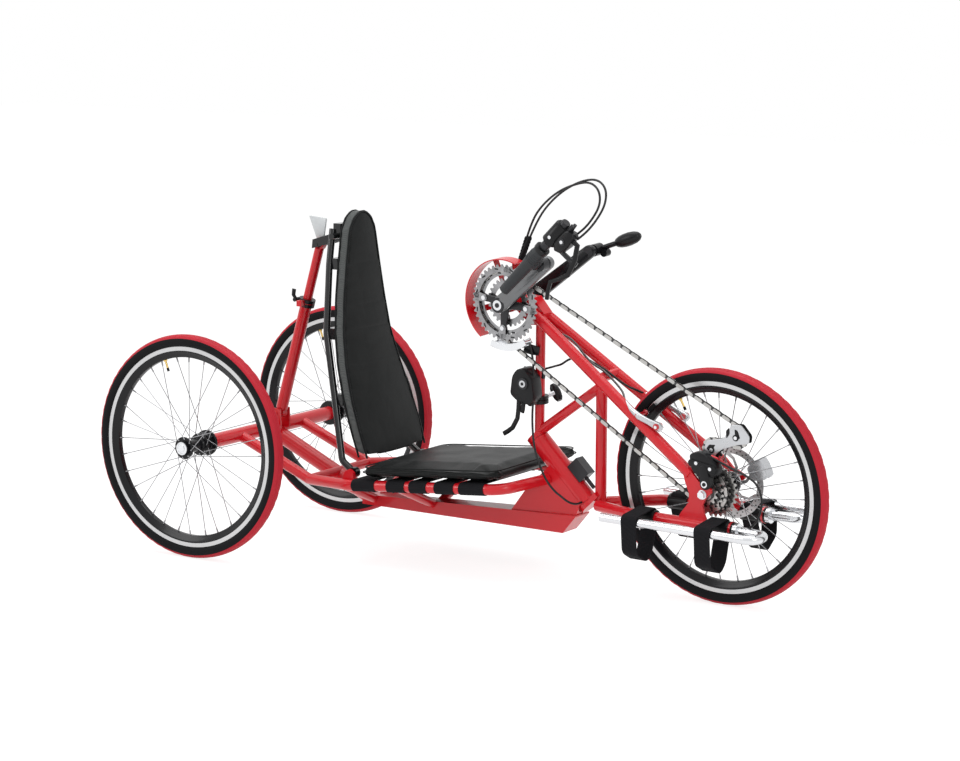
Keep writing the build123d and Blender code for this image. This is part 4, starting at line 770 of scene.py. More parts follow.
# Sprockets and chainrings are stamped steel, each tooth cut to the chain. The rear stack sits on a
# dark carrier, and the three rings are bolted to a dark forged spider with four arms.
chain_steel = painted("chain_steel", (0.60, 0.59, 0.57), (0.34, 0.33, 0.32), 0.3, 0.2, 900, 0.00003,
                      40.0, metallic=0.9)
dark_steel = painted("dark_steel", (0.10, 0.10, 0.10), (0.05, 0.05, 0.052), 0.36, 0.2, 900, 0.00003,
                     30.0, metallic=0.7)
dark_alloy = painted("dark_forged_alloy", (0.040, 0.040, 0.043), (0.024, 0.024, 0.027), 0.33, 0.1, 500,
                     0.00002, metallic=0.3, coat=0.1, specular=0.25)
ring_steel = painted("ring_steel", (0.44, 0.44, 0.45), (0.16, 0.16, 0.165), 0.3, 0.2, 600, 0.00003,
                     55.0, metallic=0.85)
SPROCKETS = (28, 24, 22, 20, 17, 14, 12)
RINGS = ((42, -49.0, 71.0), (36, -42.0, 62.0), (26, -35.0, 38.0))
CRANK = (707.0, 629.0)
PITCH = 12.7


def thicken(mesh, face, low, high, index=0, rim=0.0, lean=None):
    """Gives a flat face its thickness along Y, with its edges broken. Lean shifts each point along Y."""
    first = list(face.verts)
    bmesh.ops.translate(mesh, vec=(0, low, 0), verts=first)
    grown = points_in(bmesh.ops.extrude_face_region(mesh, geom=[face])["geom"])
    bmesh.ops.translate(mesh, vec=(0, high - low, 0), verts=grown)
    if lean:
        for vert in first + grown:
            vert.co.y += lean(vert.co)
    made = {side for vert in first + grown for side in vert.link_faces}
    for side in made:
        side.material_index = index
    if rim:
        loops = [{edge for vert in ring for edge in vert.link_edges if edge.other_vert(vert) in ring}
                 for ring in (set(first), set(grown))]
        bmesh.ops.bevel(mesh, geom=list(loops[0] | loops[1]), offset=rim, segments=2, profile=0.5,
                        affect="EDGES", material=-1, clamp_overlap=True)


def plate(mesh, outline, low, high, index=0, rim=0.0, corner=0.0):
    """A flat piece with an outline in (x, z), its corners rounded if wished."""
    face = mesh.faces.new([mesh.verts.new((x, 0, z)) for x, z in outline])
    if corner:
        rounded_off = bmesh.ops.bevel(mesh, geom=list(face.verts), offset=corner, segments=4, profile=0.5,
                                      affect="VERTICES", material=-1, clamp_overlap=True)
        face = rounded_off["verts"][0].link_faces[0]
    thicken(mesh, face, low, high, index, rim)


def link_plate(mesh, start, end, radius, low, high, end_radius=None, sides=12, index=0, rim=0.0, lean=None):
    """A flat bar with round ends, from start to end in (x, z)."""
    run = Vector((end[0] - start[0], 0, end[1] - start[1]))
    half_step = Matrix.Rotation(math.pi / sides, 4, "Y") @ Matrix.Rotation(math.pi / 2, 4, "X")
    disc = bmesh.ops.create_circle(mesh, cap_ends=True, segments=sides, radius=1, matrix=half_step)["verts"]
    turn = Matrix.Translation((start[0], 0, start[1])) @ Matrix.Rotation(-math.atan2(run.z, run.x), 4, "Y")
    for vert in disc:
        far = vert.co.x > 0
        vert.co *= (end_radius or radius) if far else radius
        vert.co.x += run.length if far else 0
        vert.co = turn @ vert.co
    thicken(mesh, disc[0].link_faces[0], low, high, index, rim, lean)


def toothed(mesh, teeth, inner, low, high, at=(0, 0), index=0):
    """A ring with one tooth for each link of chain."""
    pitch_radius = PITCH / (2 * math.sin(math.pi / teeth))
    flat = Matrix.Translation((at[0], low, at[1])) @ Matrix.Rotation(math.pi / 2, 4, "X")
    rings = []
    for radius in (inner, pitch_radius - 3.2):
        made = bmesh.ops.create_circle(mesh, segments=4 * teeth, radius=radius, matrix=flat)["verts"]
        rings.append(made)
    for number, vert in enumerate(rings[1]):
        if number % 4 in (1, 2):
            out = Vector((vert.co.x - at[0], 0, vert.co.z - at[1]))
            vert.co += out.normalized() * 6.0
    edges = [list({edge for vert in ring for edge in vert.link_edges}) for ring in rings]
    faces = bmesh.ops.bridge_loops(mesh, edges=edges[0] + edges[1])["faces"]
    grown = bmesh.ops.extrude_face_region(mesh, geom=faces)["geom"]
    bmesh.ops.translate(mesh, vec=(0, high - low, 0), verts=points_in(grown))
    for face in faces + [g for g in grown if isinstance(g, bmesh.types.BMFace)]:
        for edge in face.edges:
            for side in edge.link_faces:
                side.material_index = index


def polar(at, radius, degrees, y=None):
    """A point at an angle about a centre, in (x, z), or with its y."""
    turn = math.radians(degrees)
    x, z = at[0] + radius * math.cos(turn), at[1] + radius * math.sin(turn)
    return (x, z) if y is None else (x, y, z)


def section_loft(mesh, stations, up=(0, 1, 0), square=1.0, sides=12, index=0):
    """A body through oval sections: each station is its middle, its half width across and half height."""
    middles = [Vector(at) for at, wide, high in stations]
    rings = []
    for number, (at, wide, high) in enumerate(stations):
        along = (middles[min(number + 1, len(middles) - 1)] - middles[max(number - 1, 0)]).normalized()
        across = Vector(up).cross(along).normalized()
        turn = Matrix((across * wide, along.cross(across) * high, along)).transposed().to_4x4()
        place = Matrix.Translation(middles[number]) @ turn
        circle = bmesh.ops.create_circle(mesh, segments=sides, radius=1)["verts"]
        for vert in circle:
            spread = [math.copysign(abs(value) ** square, value) if abs(value) > 1e-6 else 0.0
                      for value in vert.co.xy]
            vert.co = place @ Vector((*spread, 0))
        rings.append(list({edge for vert in circle for edge in vert.link_edges}))
    made = []
    for first, second in zip(rings, rings[1:]):
        made += bmesh.ops.bridge_loops(mesh, edges=first + second)["faces"]
    for ring in (rings[0], rings[-1]):
        made += bmesh.ops.edgeloop_fill(mesh, edges=ring)["faces"]
    for face in made:
        face.material_index = index


cassette = bmesh.new()
for number, teeth in enumerate(SPROCKETS):
    y = -28.2 - 4.6 * number
    toothed(cassette, teeth, 17.6, y - 0.9, y + 0.9, index=number % 2)
stud(cassette, (0, 0), -61, -25, 17.8, sides=32, index=1)
stud(cassette, (0, 0), -63.4, -61, 15.5, sides=32)
stud(cassette, (0, 0), -65.0, -63.4, 11.0, sides=24, index=1)
piece("cassette_dressed", cassette, on_joint("front_wheel_turn"), [chain_steel, dark_steel], "front_wheel",
      nodes=("cassette",), sharp=25)

rings = bmesh.new()
for teeth, y, inner in RINGS:
    toothed(rings, teeth, inner, y - 1.0, y + 1.0, at=CRANK)
for quarter in range(4):
    turn = 82 + 90 * quarter
    section_loft(rings, [(polar(CRANK, 6, turn, -46), 15, 4), (polar(CRANK, 22, turn, -46), 11, 3.6),
                         (polar(CRANK, 44, turn, -45.5), 8, 2.8),
                         (polar(CRANK, 62, turn, -45.5), 9, 2.4)], square=0.6, sides=12, index=1)
    for reach, low, high in ((58, -52.5, -39.5), (34, -43, -33)):
        spot = polar(CRANK, reach, turn)
        stud(rings, spot, low, high, 5.2, sides=12, index=2)
    for y, root, reach in ((-49.0, 58, 74), (-42.0, 58, 65), (-35.0, 34, 42)):
        link_plate(rings, polar(CRANK, root, turn), polar(CRANK, reach, turn), 8, y - 1.0, y + 1.0,
                   end_radius=11, sides=16)
# Small dark plates on the faces of the two big rings: painted shade where the shift ramps are, not cut into
# the ring.
for step in range(12):
    for reach, y in ((77.5, -49.0), (67.5, -42.0)):
        spot = polar(CRANK, reach, 30 * step + 12)
        link_plate(rings, spot, polar(CRANK, reach + 2, 30 * step + 17), 1.9, y - 1.2, y - 0.9, sides=8,
                   index=1)
stud(rings, CRANK, -74, 74, 12, sides=24, index=1)
stud(rings, CRANK, -52, -41, 19, sides=32, index=1)
piece("chainrings_dressed", rings, STEERED, [ring_steel, dark_alloy, bright_steel], "crank",
      nodes=("chainrings",), sharp=25)

# Crank arms: forged alloy, the near one grey and the far one black, with a dark boss round the bolt at
# the root and round the handle's pin at the tip.
grey_alloy = painted("grey_forged_alloy", (0.20, 0.205, 0.21), (0.14, 0.145, 0.15), 0.34, 0.14, 300,
                     0.00002, metallic=0.5, coat=0.2)
ARM_ANGLE, ARM_LONG = 37.0, 178.0
EYE = polar(CRANK, ARM_LONG, ARM_ANGLE)
for name, side, finishes in (("right", -1, [grey_alloy, dark_alloy, bright_steel]),
                             ("left", 1, [anodised, dark_alloy, bright_steel])):
    arm = bmesh.new()

    def outward(at, side=side):
        share = (Vector((at.x - CRANK[0], at.z - CRANK[1])).length - 22) / (ARM_LONG - 44)
        return side * 15 * max(0.0, min(1.0, share))

    low, high = sorted((side * 60, side * 75))
    link_plate(arm, CRANK, EYE, 18.5, low, high, end_radius=14.8, sides=32, rim=3.0, lean=outward)
    for at, root, tip, radius, index in ((CRANK, 58, 77, 17.5, 1), (CRANK, 76, 79, 11.5, 2),
                                         (CRANK, 78.5, 80, 5.5, 1), (EYE, 74, 92, 12.5, 1),
                                         (EYE, 91, 94, 7.5, 2)):
        stud(arm, at, side * root, side * tip, radius, sides=32, index=index)
    ridge = [polar(CRANK, reach, ARM_ANGLE) for reach in (34, 96, 150)]
    section_loft(arm, [((x, side * (75.2 + 15 * share), z), wide, 1.4) for (x, z), share, wide in
                       zip(ridge, (0.08, 0.55, 0.94), (7.5, 6.5, 5.5))], square=0.6)
    piece(f"crank_arm_dressed_{name}", arm, STEERED, finishes, "crank", nodes=(f"crank_arm_{name}",),
          sharp=28)

# Chain: side plates in pairs on pins and rollers, half an inch apart, round the middle ring, one
# sprocket and both pulleys of the derailleur.
CHAIN_Y = -42.0
TENSION, GUIDE = (1300.0, 390.009), (1240.0, 357.009)
INNER_PLATES, OUTER_PLATES = (1.4, 2.3), (2.4, 3.3)


def tangent(a, ra, b, rb, side_a, side_b):
    """The straight run between two wheels, each passed on its left (1) or its right (-1)."""
    dx, dz = b[0] - a[0], b[1] - a[1]
    turn = math.asin((side_b * rb - side_a * ra) / math.hypot(dx, dz))
    nx, nz = -math.sin(math.atan2(dz, dx) + turn), math.cos(math.atan2(dz, dx) + turn)
    leave = (a[0] + side_a * ra * nx, a[1] + side_a * ra * nz)
    arrive = (b[0] + side_b * rb * nx, b[1] + side_b * rb * nz)
    return leave, arrive


def chain_pins():
    """The pins of the whole loop, evenly spaced along its straight runs and its wraps."""
    wheels = ((CRANK, 36, 1), (TENSION, 11, 1), (GUIDE, 11, -1), (AXLE, 20, 1))
    radii = [PITCH / (2 * math.sin(math.pi / teeth)) for at, teeth, side in wheels]
    runs = []
    for number, (at, teeth, side) in enumerate(wheels):
        after = (number + 1) % len(wheels)
        runs.append(tangent(at, radii[number], wheels[after][0], radii[after], side, wheels[after][2]))
    line = []
    for number, (at, teeth, side) in enumerate(wheels):
        arrive, leave = runs[number - 1][1], runs[number][0]
        first = math.degrees(math.atan2(arrive[1] - at[1], arrive[0] - at[0]))
        last = math.degrees(math.atan2(leave[1] - at[1], leave[0] - at[0]))
        sweep = (first - last) % 360 if side > 0 else -((last - first) % 360)
        line += [polar(at, radii[number], first - sweep * step / 40) for step in range(41)]
    steps = [math.dist(a, b) for a, b in zip(line, line[1:] + line[:1])]
    count = 2 * round(sum(steps) / PITCH / 2)
    spacing = sum(steps) / count
    pins, gone, number = [], 0.0, 0
    for pin in range(count):
        while gone + steps[number] < pin * spacing:
            gone += steps[number]
            number += 1
        share = (pin * spacing - gone) / steps[number]
        a, b = line[number], line[(number + 1) % len(line)]
        pins.append((a[0] + (b[0] - a[0]) * share, a[1] + (b[1] - a[1]) * share))
    return pins


chain = bmesh.new()
pins = chain_pins()
for number, pin in enumerate(pins):
    wide = number % 2 == 0
    for side in (-1, 1):
        low, high = sorted(CHAIN_Y + side * depth for depth in (OUTER_PLATES if wide else INNER_PLATES))
        after = pins[(number + 1) % len(pins)]
        link_plate(chain, pin, after, 4.2 if wide else 3.9, low, high, sides=8, index=1 - wide)
    stud(chain, pin, CHAIN_Y - 3.5, CHAIN_Y + 3.5, 1.9)
piece("chain_dressed", chain, STEERED, [chain_steel, dark_steel], "front_unit", nodes=("chain",), sharp=30)

# Rear derailleur: a black body hung from the dropout by one bolt, with red pivots, carries a pale
# forged cage with two black toothed pulleys.
black_plastic = painted("black_moulding", (0.012, 0.012, 0.013), (0.007, 0.007, 0.008), 0.34, 0.14, 700,
                        0.00003, coat=0.05, specular=0.2)
red_anodised = painted("red_anodised", (0.66, 0.008, 0.02), (0.5, 0.005, 0.014), 0.28, 0.1, 700,
                       0.00001, metallic=0.4, coat=0.6)
pale_alloy = painted("pale_forged_alloy", (0.66, 0.67, 0.69), (0.50, 0.51, 0.53), 0.28, 0.12, 500,
                     0.00002, metallic=0.6, coat=0.3)
CAGE = ((1222, 362), (1229, 377), (1252, 381), (1270, 386), (1280, 402), (1290, 418), (1313, 419),
        (1333, 396), (1331, 380), (1301, 374), (1266, 361), (1250, 348), (1241, 334), (1227, 342))
CAGE_DARKS = (((1227, 358), (1234, 368), (1250, 369), (1238, 352)),
              ((1276, 403), (1284, 411), (1285, 397), (1277, 386)),
              ((1297, 409), (1305, 406), (1311, 389), (1299, 389)))
BODY = ((1198, 348), (1222, 356), (1247, 345), (1266, 330), (1270, 309), (1247, 301), (1222, 300),
        (1204, 312))
HANGER = (1239.6, 287.5)
mech = bmesh.new()
plate(mech, CAGE, -49.4, -46.6, rim=0.9, corner=4)
plate(mech, CAGE, -37.4, -35.4, index=2, rim=0.6, corner=4)
for dark in CAGE_DARKS:
    plate(mech, dark, -49.8, -49.2, index=2, corner=3)
for at in (TENSION, GUIDE):
    toothed(mech, 11, 7, CHAIN_Y - 1.1, CHAIN_Y + 1.1, at=at, index=2)
    stud(mech, at, -51, -35, 7.2, sides=20, index=2)
    stud(mech, at, -52.2, -51, 4.4, index=3)
plate(mech, BODY, -74, -52, index=2, rim=2.4, corner=7)
link_plate(mech, (1205, 330), (1256, 320), 8, -77.4, -72, end_radius=10, sides=24, index=2, rim=1.6)
link_plate(mech, HANGER, (1236, 318), 13, -79, -60, end_radius=10, sides=28, index=2, rim=2.0)
stud(mech, HANGER, -82, -78, 7.5, sides=24, index=3)
stud(mech, HANGER, -83.2, -82, 4.6, index=2)
for x, z, radius in ((1245, 341, 5.2), (1262, 337, 5.6), (1278, 329, 5.0)):
    stud(mech, (x, z), -58, -50.4, radius, sides=16, index=1)
section_loft(mech, [((1243, -55, 344), 4.6, 4.6), ((1262, -55, 338), 4.2, 4.2),
                    ((1281, -54, 327), 3.6, 3.6)], index=1)
stud(mech, (1218, 331), -78.6, -76, 4.0, sides=16, index=3)
stud(mech, (1252, 322), -78.6, -76, 4.0, sides=16, index=3)
piece("derailleur_dressed", mech, STEERED, [pale_alloy, red_anodised, black_plastic, bright_steel],
      "front_unit", nodes=("derailleur",), sharp=30)

# Front derailleur: a pressed silver cage of two curved plates round the chain, held to the mast by
# a short black arm.
shifter = bmesh.new()
for y, half in ((-54, 1.2), (-30, 1.2)):
    section_loft(shifter, [(polar(CRANK, 99.5, turn, y), 8.5 - 0.05 * abs(turn - 276), half)
                           for turn in range(248, 305, 4)], square=0.25, sides=16)
for turn, wide in ((249, 8.0), (303, 8.0)):
    x, z = polar(CRANK, 99.5, turn)
    stud(shifter, (x, z), -54, -30, 3.0, sides=12)
section_loft(shifter, [(polar(CRANK, 107, 290, -30), 12, 1.6), (polar(CRANK, 120, 298, -24), 12, 3),
                       (polar(CRANK, 128, 302, -16), 10, 5)], square=0.5, index=1)
piece("front_derailleur_dressed", shifter, STEERED, [bright_steel, anodised], "front_unit",
      nodes=("front_derailleur",), sharp=30)

# Disc brake: a steel rotor carried on six swept arms, in a two-piece caliper bolted to the left dropout.
# Its drill holes are dark steel discs set through the ring, painted shade in place of real holes.
rotor = bmesh.new()
ROTOR_INSIDE, ROTOR_OUTSIDE, ROTOR_IN, ROTOR_OUT = 46.0, 48.0, 64.5, 80.0
ROTOR_LINE = ((ROTOR_INSIDE, ROTOR_IN), (ROTOR_OUTSIDE, ROTOR_IN), (ROTOR_OUTSIDE, ROTOR_OUT),
              (ROTOR_INSIDE, ROTOR_OUT))
spin_line(rotor, ROTOR_LINE, 96, closed=True)
for arm in range(6):
    turn = 60 * arm
    section_loft(rotor, [(polar((0, 0), reach, turn + lean, 47), wide, 0.9) for reach, lean, wide in
                         ((20, 0, 5.0), (38, 10, 3.6), (54, 24, 3.4), (66, 40, 5.0))], square=0.3, sides=8)
# Dark steel discs through the ring: painted shade where the rotor's drill holes are, not real holes.
for painted_hole in range(60):
    at = polar((0, 0), 69.0 if painted_hole % 2 else 75.0, 6 * painted_hole)
    stud(rotor, at, 45.9, 48.1, 1.9, sides=8, index=1)
stud(rotor, (0, 0), 44.6, 48.4, 24, sides=40)
for bolt in range(6):
    at = polar((0, 0), 19, 60 * bolt + 30)
    stud(rotor, at, 48.2, 51, 3.4, sides=10, index=1)
piece("brake_rotor_dressed", rotor, on_joint("front_wheel_turn"), [machined, dark_steel], "front_wheel",
      nodes=("brake_rotor",), sharp=30)

caliper = bmesh.new()
CALIPER_LINE = ((12, 14), (14, 19), (20, 21.5), (34, 21.5), (40, 19), (42, 14))
for y, half in ((59.5, 8.5), (39.6, 4.6)):
    stations = [(polar(AXLE, 78, turn, y), wide, half) for turn, wide in CALIPER_LINE]
    section_loft(caliper, stations, square=0.45, sides=20)
section_loft(caliper, [(polar(AXLE, 93.5, turn, 52), 5.5, 15.5) for turn in (15, 22, 30, 39)],
             square=0.4, sides=16)
for turn in (17, 37):
    at = polar(AXLE, 90, turn)
    stud(caliper, at, 66, 70.5, 5.0, index=1)
at = polar(AXLE, 74, 27)
stud(caliper, at, 67, 70, 11, sides=28, index=1)
stud(caliper, at, 69.5, 71, 6, sides=20, index=2)
piece("brake_caliper_dressed", caliper, STEERED, [pale_alloy, dark_steel, red_anodised], "front_unit",
      nodes=("brake_caliper",), sharp=35)

# Rim brake: a forged arm on each side of the wheel, pivoted on the fork, with a black pad on the bare
# brake track and a red boss that clamps the pad.
PIVOT, PAD, CABLE_EYE = (1109, 394.4), (1060, 414), (1017, 436.3)
rim_brake = bmesh.new()
for side in (-1, 1):
    section_loft(rim_brake, [((1118, side * 54, 388), 7, 6),
                             ((PIVOT[0], side * 54.6, PIVOT[1]), 9.5, 7.5),
                             ((1088, side * 58.5, 403), 6.5, 5.2),
                             ((1065, side * 60.6, 412.4), 7.0, 5.6), ((1040, side * 53, 424), 5.6, 4.6),
                             ((CABLE_EYE[0], side * 42.6, CABLE_EYE[1]), 5.6, 4.6),
                             ((1010, side * 40, 440), 4.0, 3.6)], square=0.7, sides=16)
    stud(rim_brake, PIVOT, side * 46, side * 64, 7.0, sides=24, index=1)
    stud(rim_brake, PIVOT, side * 64, side * 66, 4.0, index=2)
    stud(rim_brake, PAD, side * 21, side * 64, 4.2, sides=16, index=1)
    stud(rim_brake, PAD, side * 21, side * 27, 7.0, sides=20, index=2)
    section_loft(rim_brake, [((PAD[0] + 0.72 * s, side * 17.6, PAD[1] + 0.69 * s), 4.6, 3.2)
                             for s in (-24, -21, 0, 21, 24)], square=0.4, sides=16, index=3)
    stud(rim_brake, CABLE_EYE, side * 38, side * 48, 5.0, index=2)
piece("rim_brake_dressed", rim_brake, STEERED, [pale_alloy, red_anodised, bright_steel, black_rubber],
      "front_unit", nodes=("rim_brake",), sharp=35)

# Right handle: a grey tapered rubber grip with a black collar turns on the crank's pin through a small
# bracket. The brake lever and the twin shift levers sit in a black pod beyond the grip.
grip_rubber = painted("grey_grip_rubber", (0.038, 0.041, 0.044), (0.026, 0.029, 0.032), 0.5, 0.14, 260,
                      0.00005, specular=0.3)
HANDLE_START, HANDLE_ANGLE, HANDLE_Y = (761.96, 675.02), 43.5, -128.0


def on_handle(s, out=0.0, y=HANDLE_Y):
    """A point along the handle's bar, out from it towards the rider's right, at a depth."""
    x, z = polar(HANDLE_START, s, HANDLE_ANGLE)
    turn = math.radians(HANDLE_ANGLE)
    return (x + out * math.sin(turn), y, z - out * math.cos(turn))


def round_on_handle(mesh, line, sides=32, index=0):
    """A round body along the handle's bar, through (distance, radius) pairs."""
    section_loft(mesh, [(on_handle(s), radius, radius) for s, radius in line], sides=sides, index=index)


bracket = bmesh.new()
stud(bracket, EYE, -95, -115, 14, sides=32)
stud(bracket, EYE, -90, -96, 7, sides=20, index=1)
section_loft(bracket, [(on_handle(92, 7, -117), 11, 10), (on_handle(96, 7, -117), 13.5, 12),
                       (on_handle(114, 7, -117), 13.5, 12), (on_handle(119, 7, -117), 11, 10)],
             square=0.5, sides=20)
round_on_handle(bracket, ((4, 7.6), (150, 8.0), (150.2, 10.8), (234, 10.8), (236, 9.6)), sides=24)
piece("handle_bracket_dressed_right", bracket, STEERED, [dark_alloy, bright_steel], "handle_right",
      nodes=("handle_bracket_right",), sharp=35)
grip = bmesh.new()
round_on_handle(grip, ((0, 9.5), (1.5, 11.6), (48, 13.0), (90, 14.4), (104, 16.2), (128, 16.6),
                       (140, 15.0)))
round_on_handle(grip, ((139.5, 16.4), (141, 17.4), (149, 17.4), (150.4, 16.0)), index=1)
for ridge in range(5):
    start = 106 + 5 * ridge
    round_on_handle(grip, ((start, 16.9), (start + 1.2, 17.3), (start + 2.4, 16.9)))
piece("handle_grip_dressed_right", grip, STEERED, [grip_rubber, black_plastic], "handle_right",
      nodes=("handle_grip_right",), sharp=40)
pod = bmesh.new()
round_on_handle(pod, ((170, 15), (173, 18), (223, 18), (227, 15)))
section_loft(pod, [(on_handle(180, 20), 10, 12), (on_handle(186, 26), 15.5, 16.5),
                   (on_handle(206, 28), 17, 17), (on_handle(228, 26), 15, 15.5),
                   (on_handle(233, 24), 10, 11)], square=0.55, sides=24)
bar(pod, on_handle(206, 27, -146), on_handle(206, 27, -143), 8.0, sides=28, index=1)
bar(pod, on_handle(206, 27, -147), on_handle(206, 27, -145.5), 4.2, index=2)
bar(pod, on_handle(190, 0, -147.5), on_handle(190, 0, -144.5), 4.0, sides=12, index=2)
LEVER = ((92.8, 66.9), (112.8, 53.9), (104, 22), (86.8, -12.1), (62, -23), (40.8, -30.1), (33, -48),
         (29.8, -70.1))
blade = [((EYE[0] + x, -130 - 2 * (number % 2), EYE[1] + z), 6.5 - 0.35 * number, 4.6)
         for number, (x, z) in enumerate(LEVER)]
section_loft(pod, blade, square=0.8, sides=14)
for first, last in (((52, 42), (84, 14)), ((72, 26), (96, 6))):
    root = (EYE[0] + first[0], -118, EYE[1] + first[1])
    tip = (EYE[0] + last[0], -112, EYE[1] + last[1])
    section_loft(pod, [(root, 5, 3), (tip, 6.5, 3)], square=0.6, index=1)
for y in (-132, -122):
    bar(pod, on_handle(230, 18, y), on_handle(246, 16, y), 4.2, sides=12, index=1)
piece("handle_controls_dressed_right", pod, STEERED, [black_plastic, dark_alloy, bright_steel],
      "handle_right", nodes=("handle_controls_right",), sharp=38)

# Left handle: a black boss with a lock knob turns on the crank's pin, and a short bar runs from it
# into an oval, glossy palm grip.
LEFT_ANGLE = 19.3


def on_left(s, y=118.0):
    """A point along the left handle's short bar."""
    x, z = polar(EYE, s, LEFT_ANGLE)
    return (x, y, z)


left_bar = bmesh.new()
stud(left_bar, EYE, 95, 124, 14, sides=32)
stud(left_bar, EYE, 124, 126, 8, sides=24, index=1)
bar(left_bar, on_left(10), on_left(66), 6.0, sides=20)
stud(left_bar, (EYE[0] + 20, EYE[1] - 6), 108, 126, 8.8, sides=20)
piece("handle_bracket_dressed_left", left_bar, STEERED, [anodised, bright_steel], "handle_left",
      nodes=("handle_bracket_left",), sharp=35)
palm = bmesh.new()
PALM_LINE = ((52, 8.0), (55, 10.2), (64, 13.4), (76, 15.0), (90, 15.2), (104, 13.4), (113, 10.2),
             (118, 6.0))
section_loft(palm, [(on_left(s), wide, wide * 0.95) for s, wide in PALM_LINE], sides=28)
piece("handle_grip_dressed_left", palm, STEERED, [black_plastic], "handle_left",
      nodes=("handle_grip_left",), sharp=60)

# Mast lever unit: a black shifter with two thumb blades and a round cap, clamped low on the mast by a
# split band whose oval knob stands on the far side.
POD_LINE = ((725, 466), (718, 424), (736, 410), (772, 402), (783, 420), (779, 462), (757, 487), (737, 482))
CAP = (757, 452)
mast_pod = bmesh.new()
plate(mast_pod, POD_LINE, -56, -18, rim=3.0, corner=7)
stud(mast_pod, CAP, -60, -54, 13, sides=32, index=1)
stud(mast_pod, CAP, -61.5, -59.5, 8, sides=28, index=2)
stud(mast_pod, CAP, -62.2, -61, 4)
LONG_BLADE = ((732, -40, 408), (731, -41, 388), (728, -42, 366), (714, -42, 343), (700, -41, 333),
              (688, -40, 326))
SHORT_BLADE = ((743, -46, 420), (749, -47, 402), (747, -47, 390), (744, -46, 383))
for blade in (LONG_BLADE, SHORT_BLADE):
    section_loft(mast_pod, [(at, 5.5, 3.2) for at in blade], square=0.7, sides=14)
for x, y, z in ((746, -30, 478), (779, -4, 470)):
    bar(mast_pod, (x - 4, y, z - 14), (x, y, z + 6), 4.4, sides=12, index=1)
bar(mast_pod, (761.7, 0, 397), (761.7, 0, 405), 19.6, sides=32)
bar(mast_pod, (761.7, 0, 407), (761.7, 0, 415), 19.6, sides=32)
stud(mast_pod, (761.7, 406), -40, -14, 9, sides=20)
bar(mast_pod, (763, 16, 407), (770, 42, 412), 5.5, sides=16, index=2)
section_loft(mast_pod, [((780, 52, 394), 6, 7), ((776, 53, 400), 10, 10), ((769, 54, 411), 12, 11.5),
                        ((762, 55, 422), 10, 10), ((757, 56, 428), 5, 6)], sides=24)
piece("mast_lever_dressed", mast_pod, STEERED, [black_plastic, dark_alloy, pale_alloy], "front_unit",
      nodes=("mast_lever",), sharp=38)

# Foot hoops of bright tube stand on rails with black clamp sleeves. Each rail ends in a red ring and a
# bright plug, and a strap of black webbing hangs between each hoop and its rail.
dress(bright_steel, "foot_hoops")
dress(black_plastic, "rail_sleeves")
ends = bmesh.new()
for side in (-1, 1):
    for start, end, radius, index in ((1299, 1304, 18.2, 0), (1304, 1308, 17.4, 1), (1308, 1318, 16.6, 2)):
        bar(ends, (start, side * 69.6, 193), (end, side * 69.6, 193), radius, sides=32, index=index)
    for x in (1074, 1098, 1258, 1286):
        bar(ends, (x, side * 69.2, 175), (x, side * 69.2, 172), 3.6, index=2)
piece("foot_rail_ends", ends, STEERED, [red_anodised, black_plastic, bright_steel], "front_unit", sharp=30)
STRAPS_AT, STRAP_WIDE = (1086, 1270), 38
STRAP = ((-146, 14), (-58, 20), (-55, -6), (-78, -76), (-100, -96), (-142, -70))
straps = bmesh.new()
for x in STRAPS_AT:
    for side in (-1, 1):
        loop = bmesh.new()
        face = loop.faces.new([loop.verts.new((x - STRAP_WIDE / 2, -side * y, 196 + z)) for y, z in STRAP])
        bmesh.ops.bevel(loop, geom=list(face.verts), offset=12, segments=5, profile=0.5, affect="VERTICES",
                        material=-1, clamp_overlap=True)
        bmesh.ops.delete(loop, geom=list(loop.faces), context="FACES_ONLY")
        grown = bmesh.ops.extrude_edge_only(loop, edges=list(loop.edges))["geom"]
        bmesh.ops.translate(loop, vec=(STRAP_WIDE, 0, 0), verts=points_in(grown))
        across = [e for e in loop.edges if abs(e.verts[0].co.x - e.verts[1].co.x) > 30]
        bmesh.ops.subdivide_edges(loop, edges=across, cuts=4)
        bmesh.ops.recalc_face_normals(loop, faces=loop.faces)
        bmesh.ops.solidify(loop, geom=loop.faces, thickness=2.6)
        for vert in loop.verts:
            vert.co.x += 2.2 * noise.noise(vert.co * 0.02 + Vector((0, 0, x)))
        kept = bpy.data.meshes.new("strap")
        loop.to_mesh(kept)
        loop.free()
        straps.from_mesh(kept)
piece("foot_straps_sewn", straps, STEERED, [black_webbing], "front_unit", nodes=("foot_straps",),
      sharp=60)

# Cables: ribbed rubber boots stand on top of the crank housing. Black housings and a grey one run
# from them and from the levers. Each keeps the length of its route, stiff and without sag.
housing_black = painted("cable_housing", (0.014, 0.014, 0.015), (0.008, 0.008, 0.009), 0.4, 0.12, 900,
                        0.00002, specular=0.3)
housing_grey = painted("grey_cable_housing", (0.12, 0.12, 0.12), (0.07, 0.07, 0.07), 0.4, 0.12, 900,
                       0.00002, coat=0.2)
CABLE = 5.0
boots = bmesh.new()
for start, end in (((722, -7, 714), (751, -7, 775)), ((712, 7, 714), (733, 7, 772))):
    start, end = Vector(start), Vector(end)
    section_loft(boots, [(start.lerp(end, step / 16), 6.2 - 0.1 * step + (0.7 if step % 2 else 0),
                          6.2 - 0.1 * step + (0.7 if step % 2 else 0)) for step in range(17)], sides=20)
piece("cable_boots_dressed", boots, STEERED, [black_rubber], "front_unit", nodes=("cable_boots",), sharp=50)


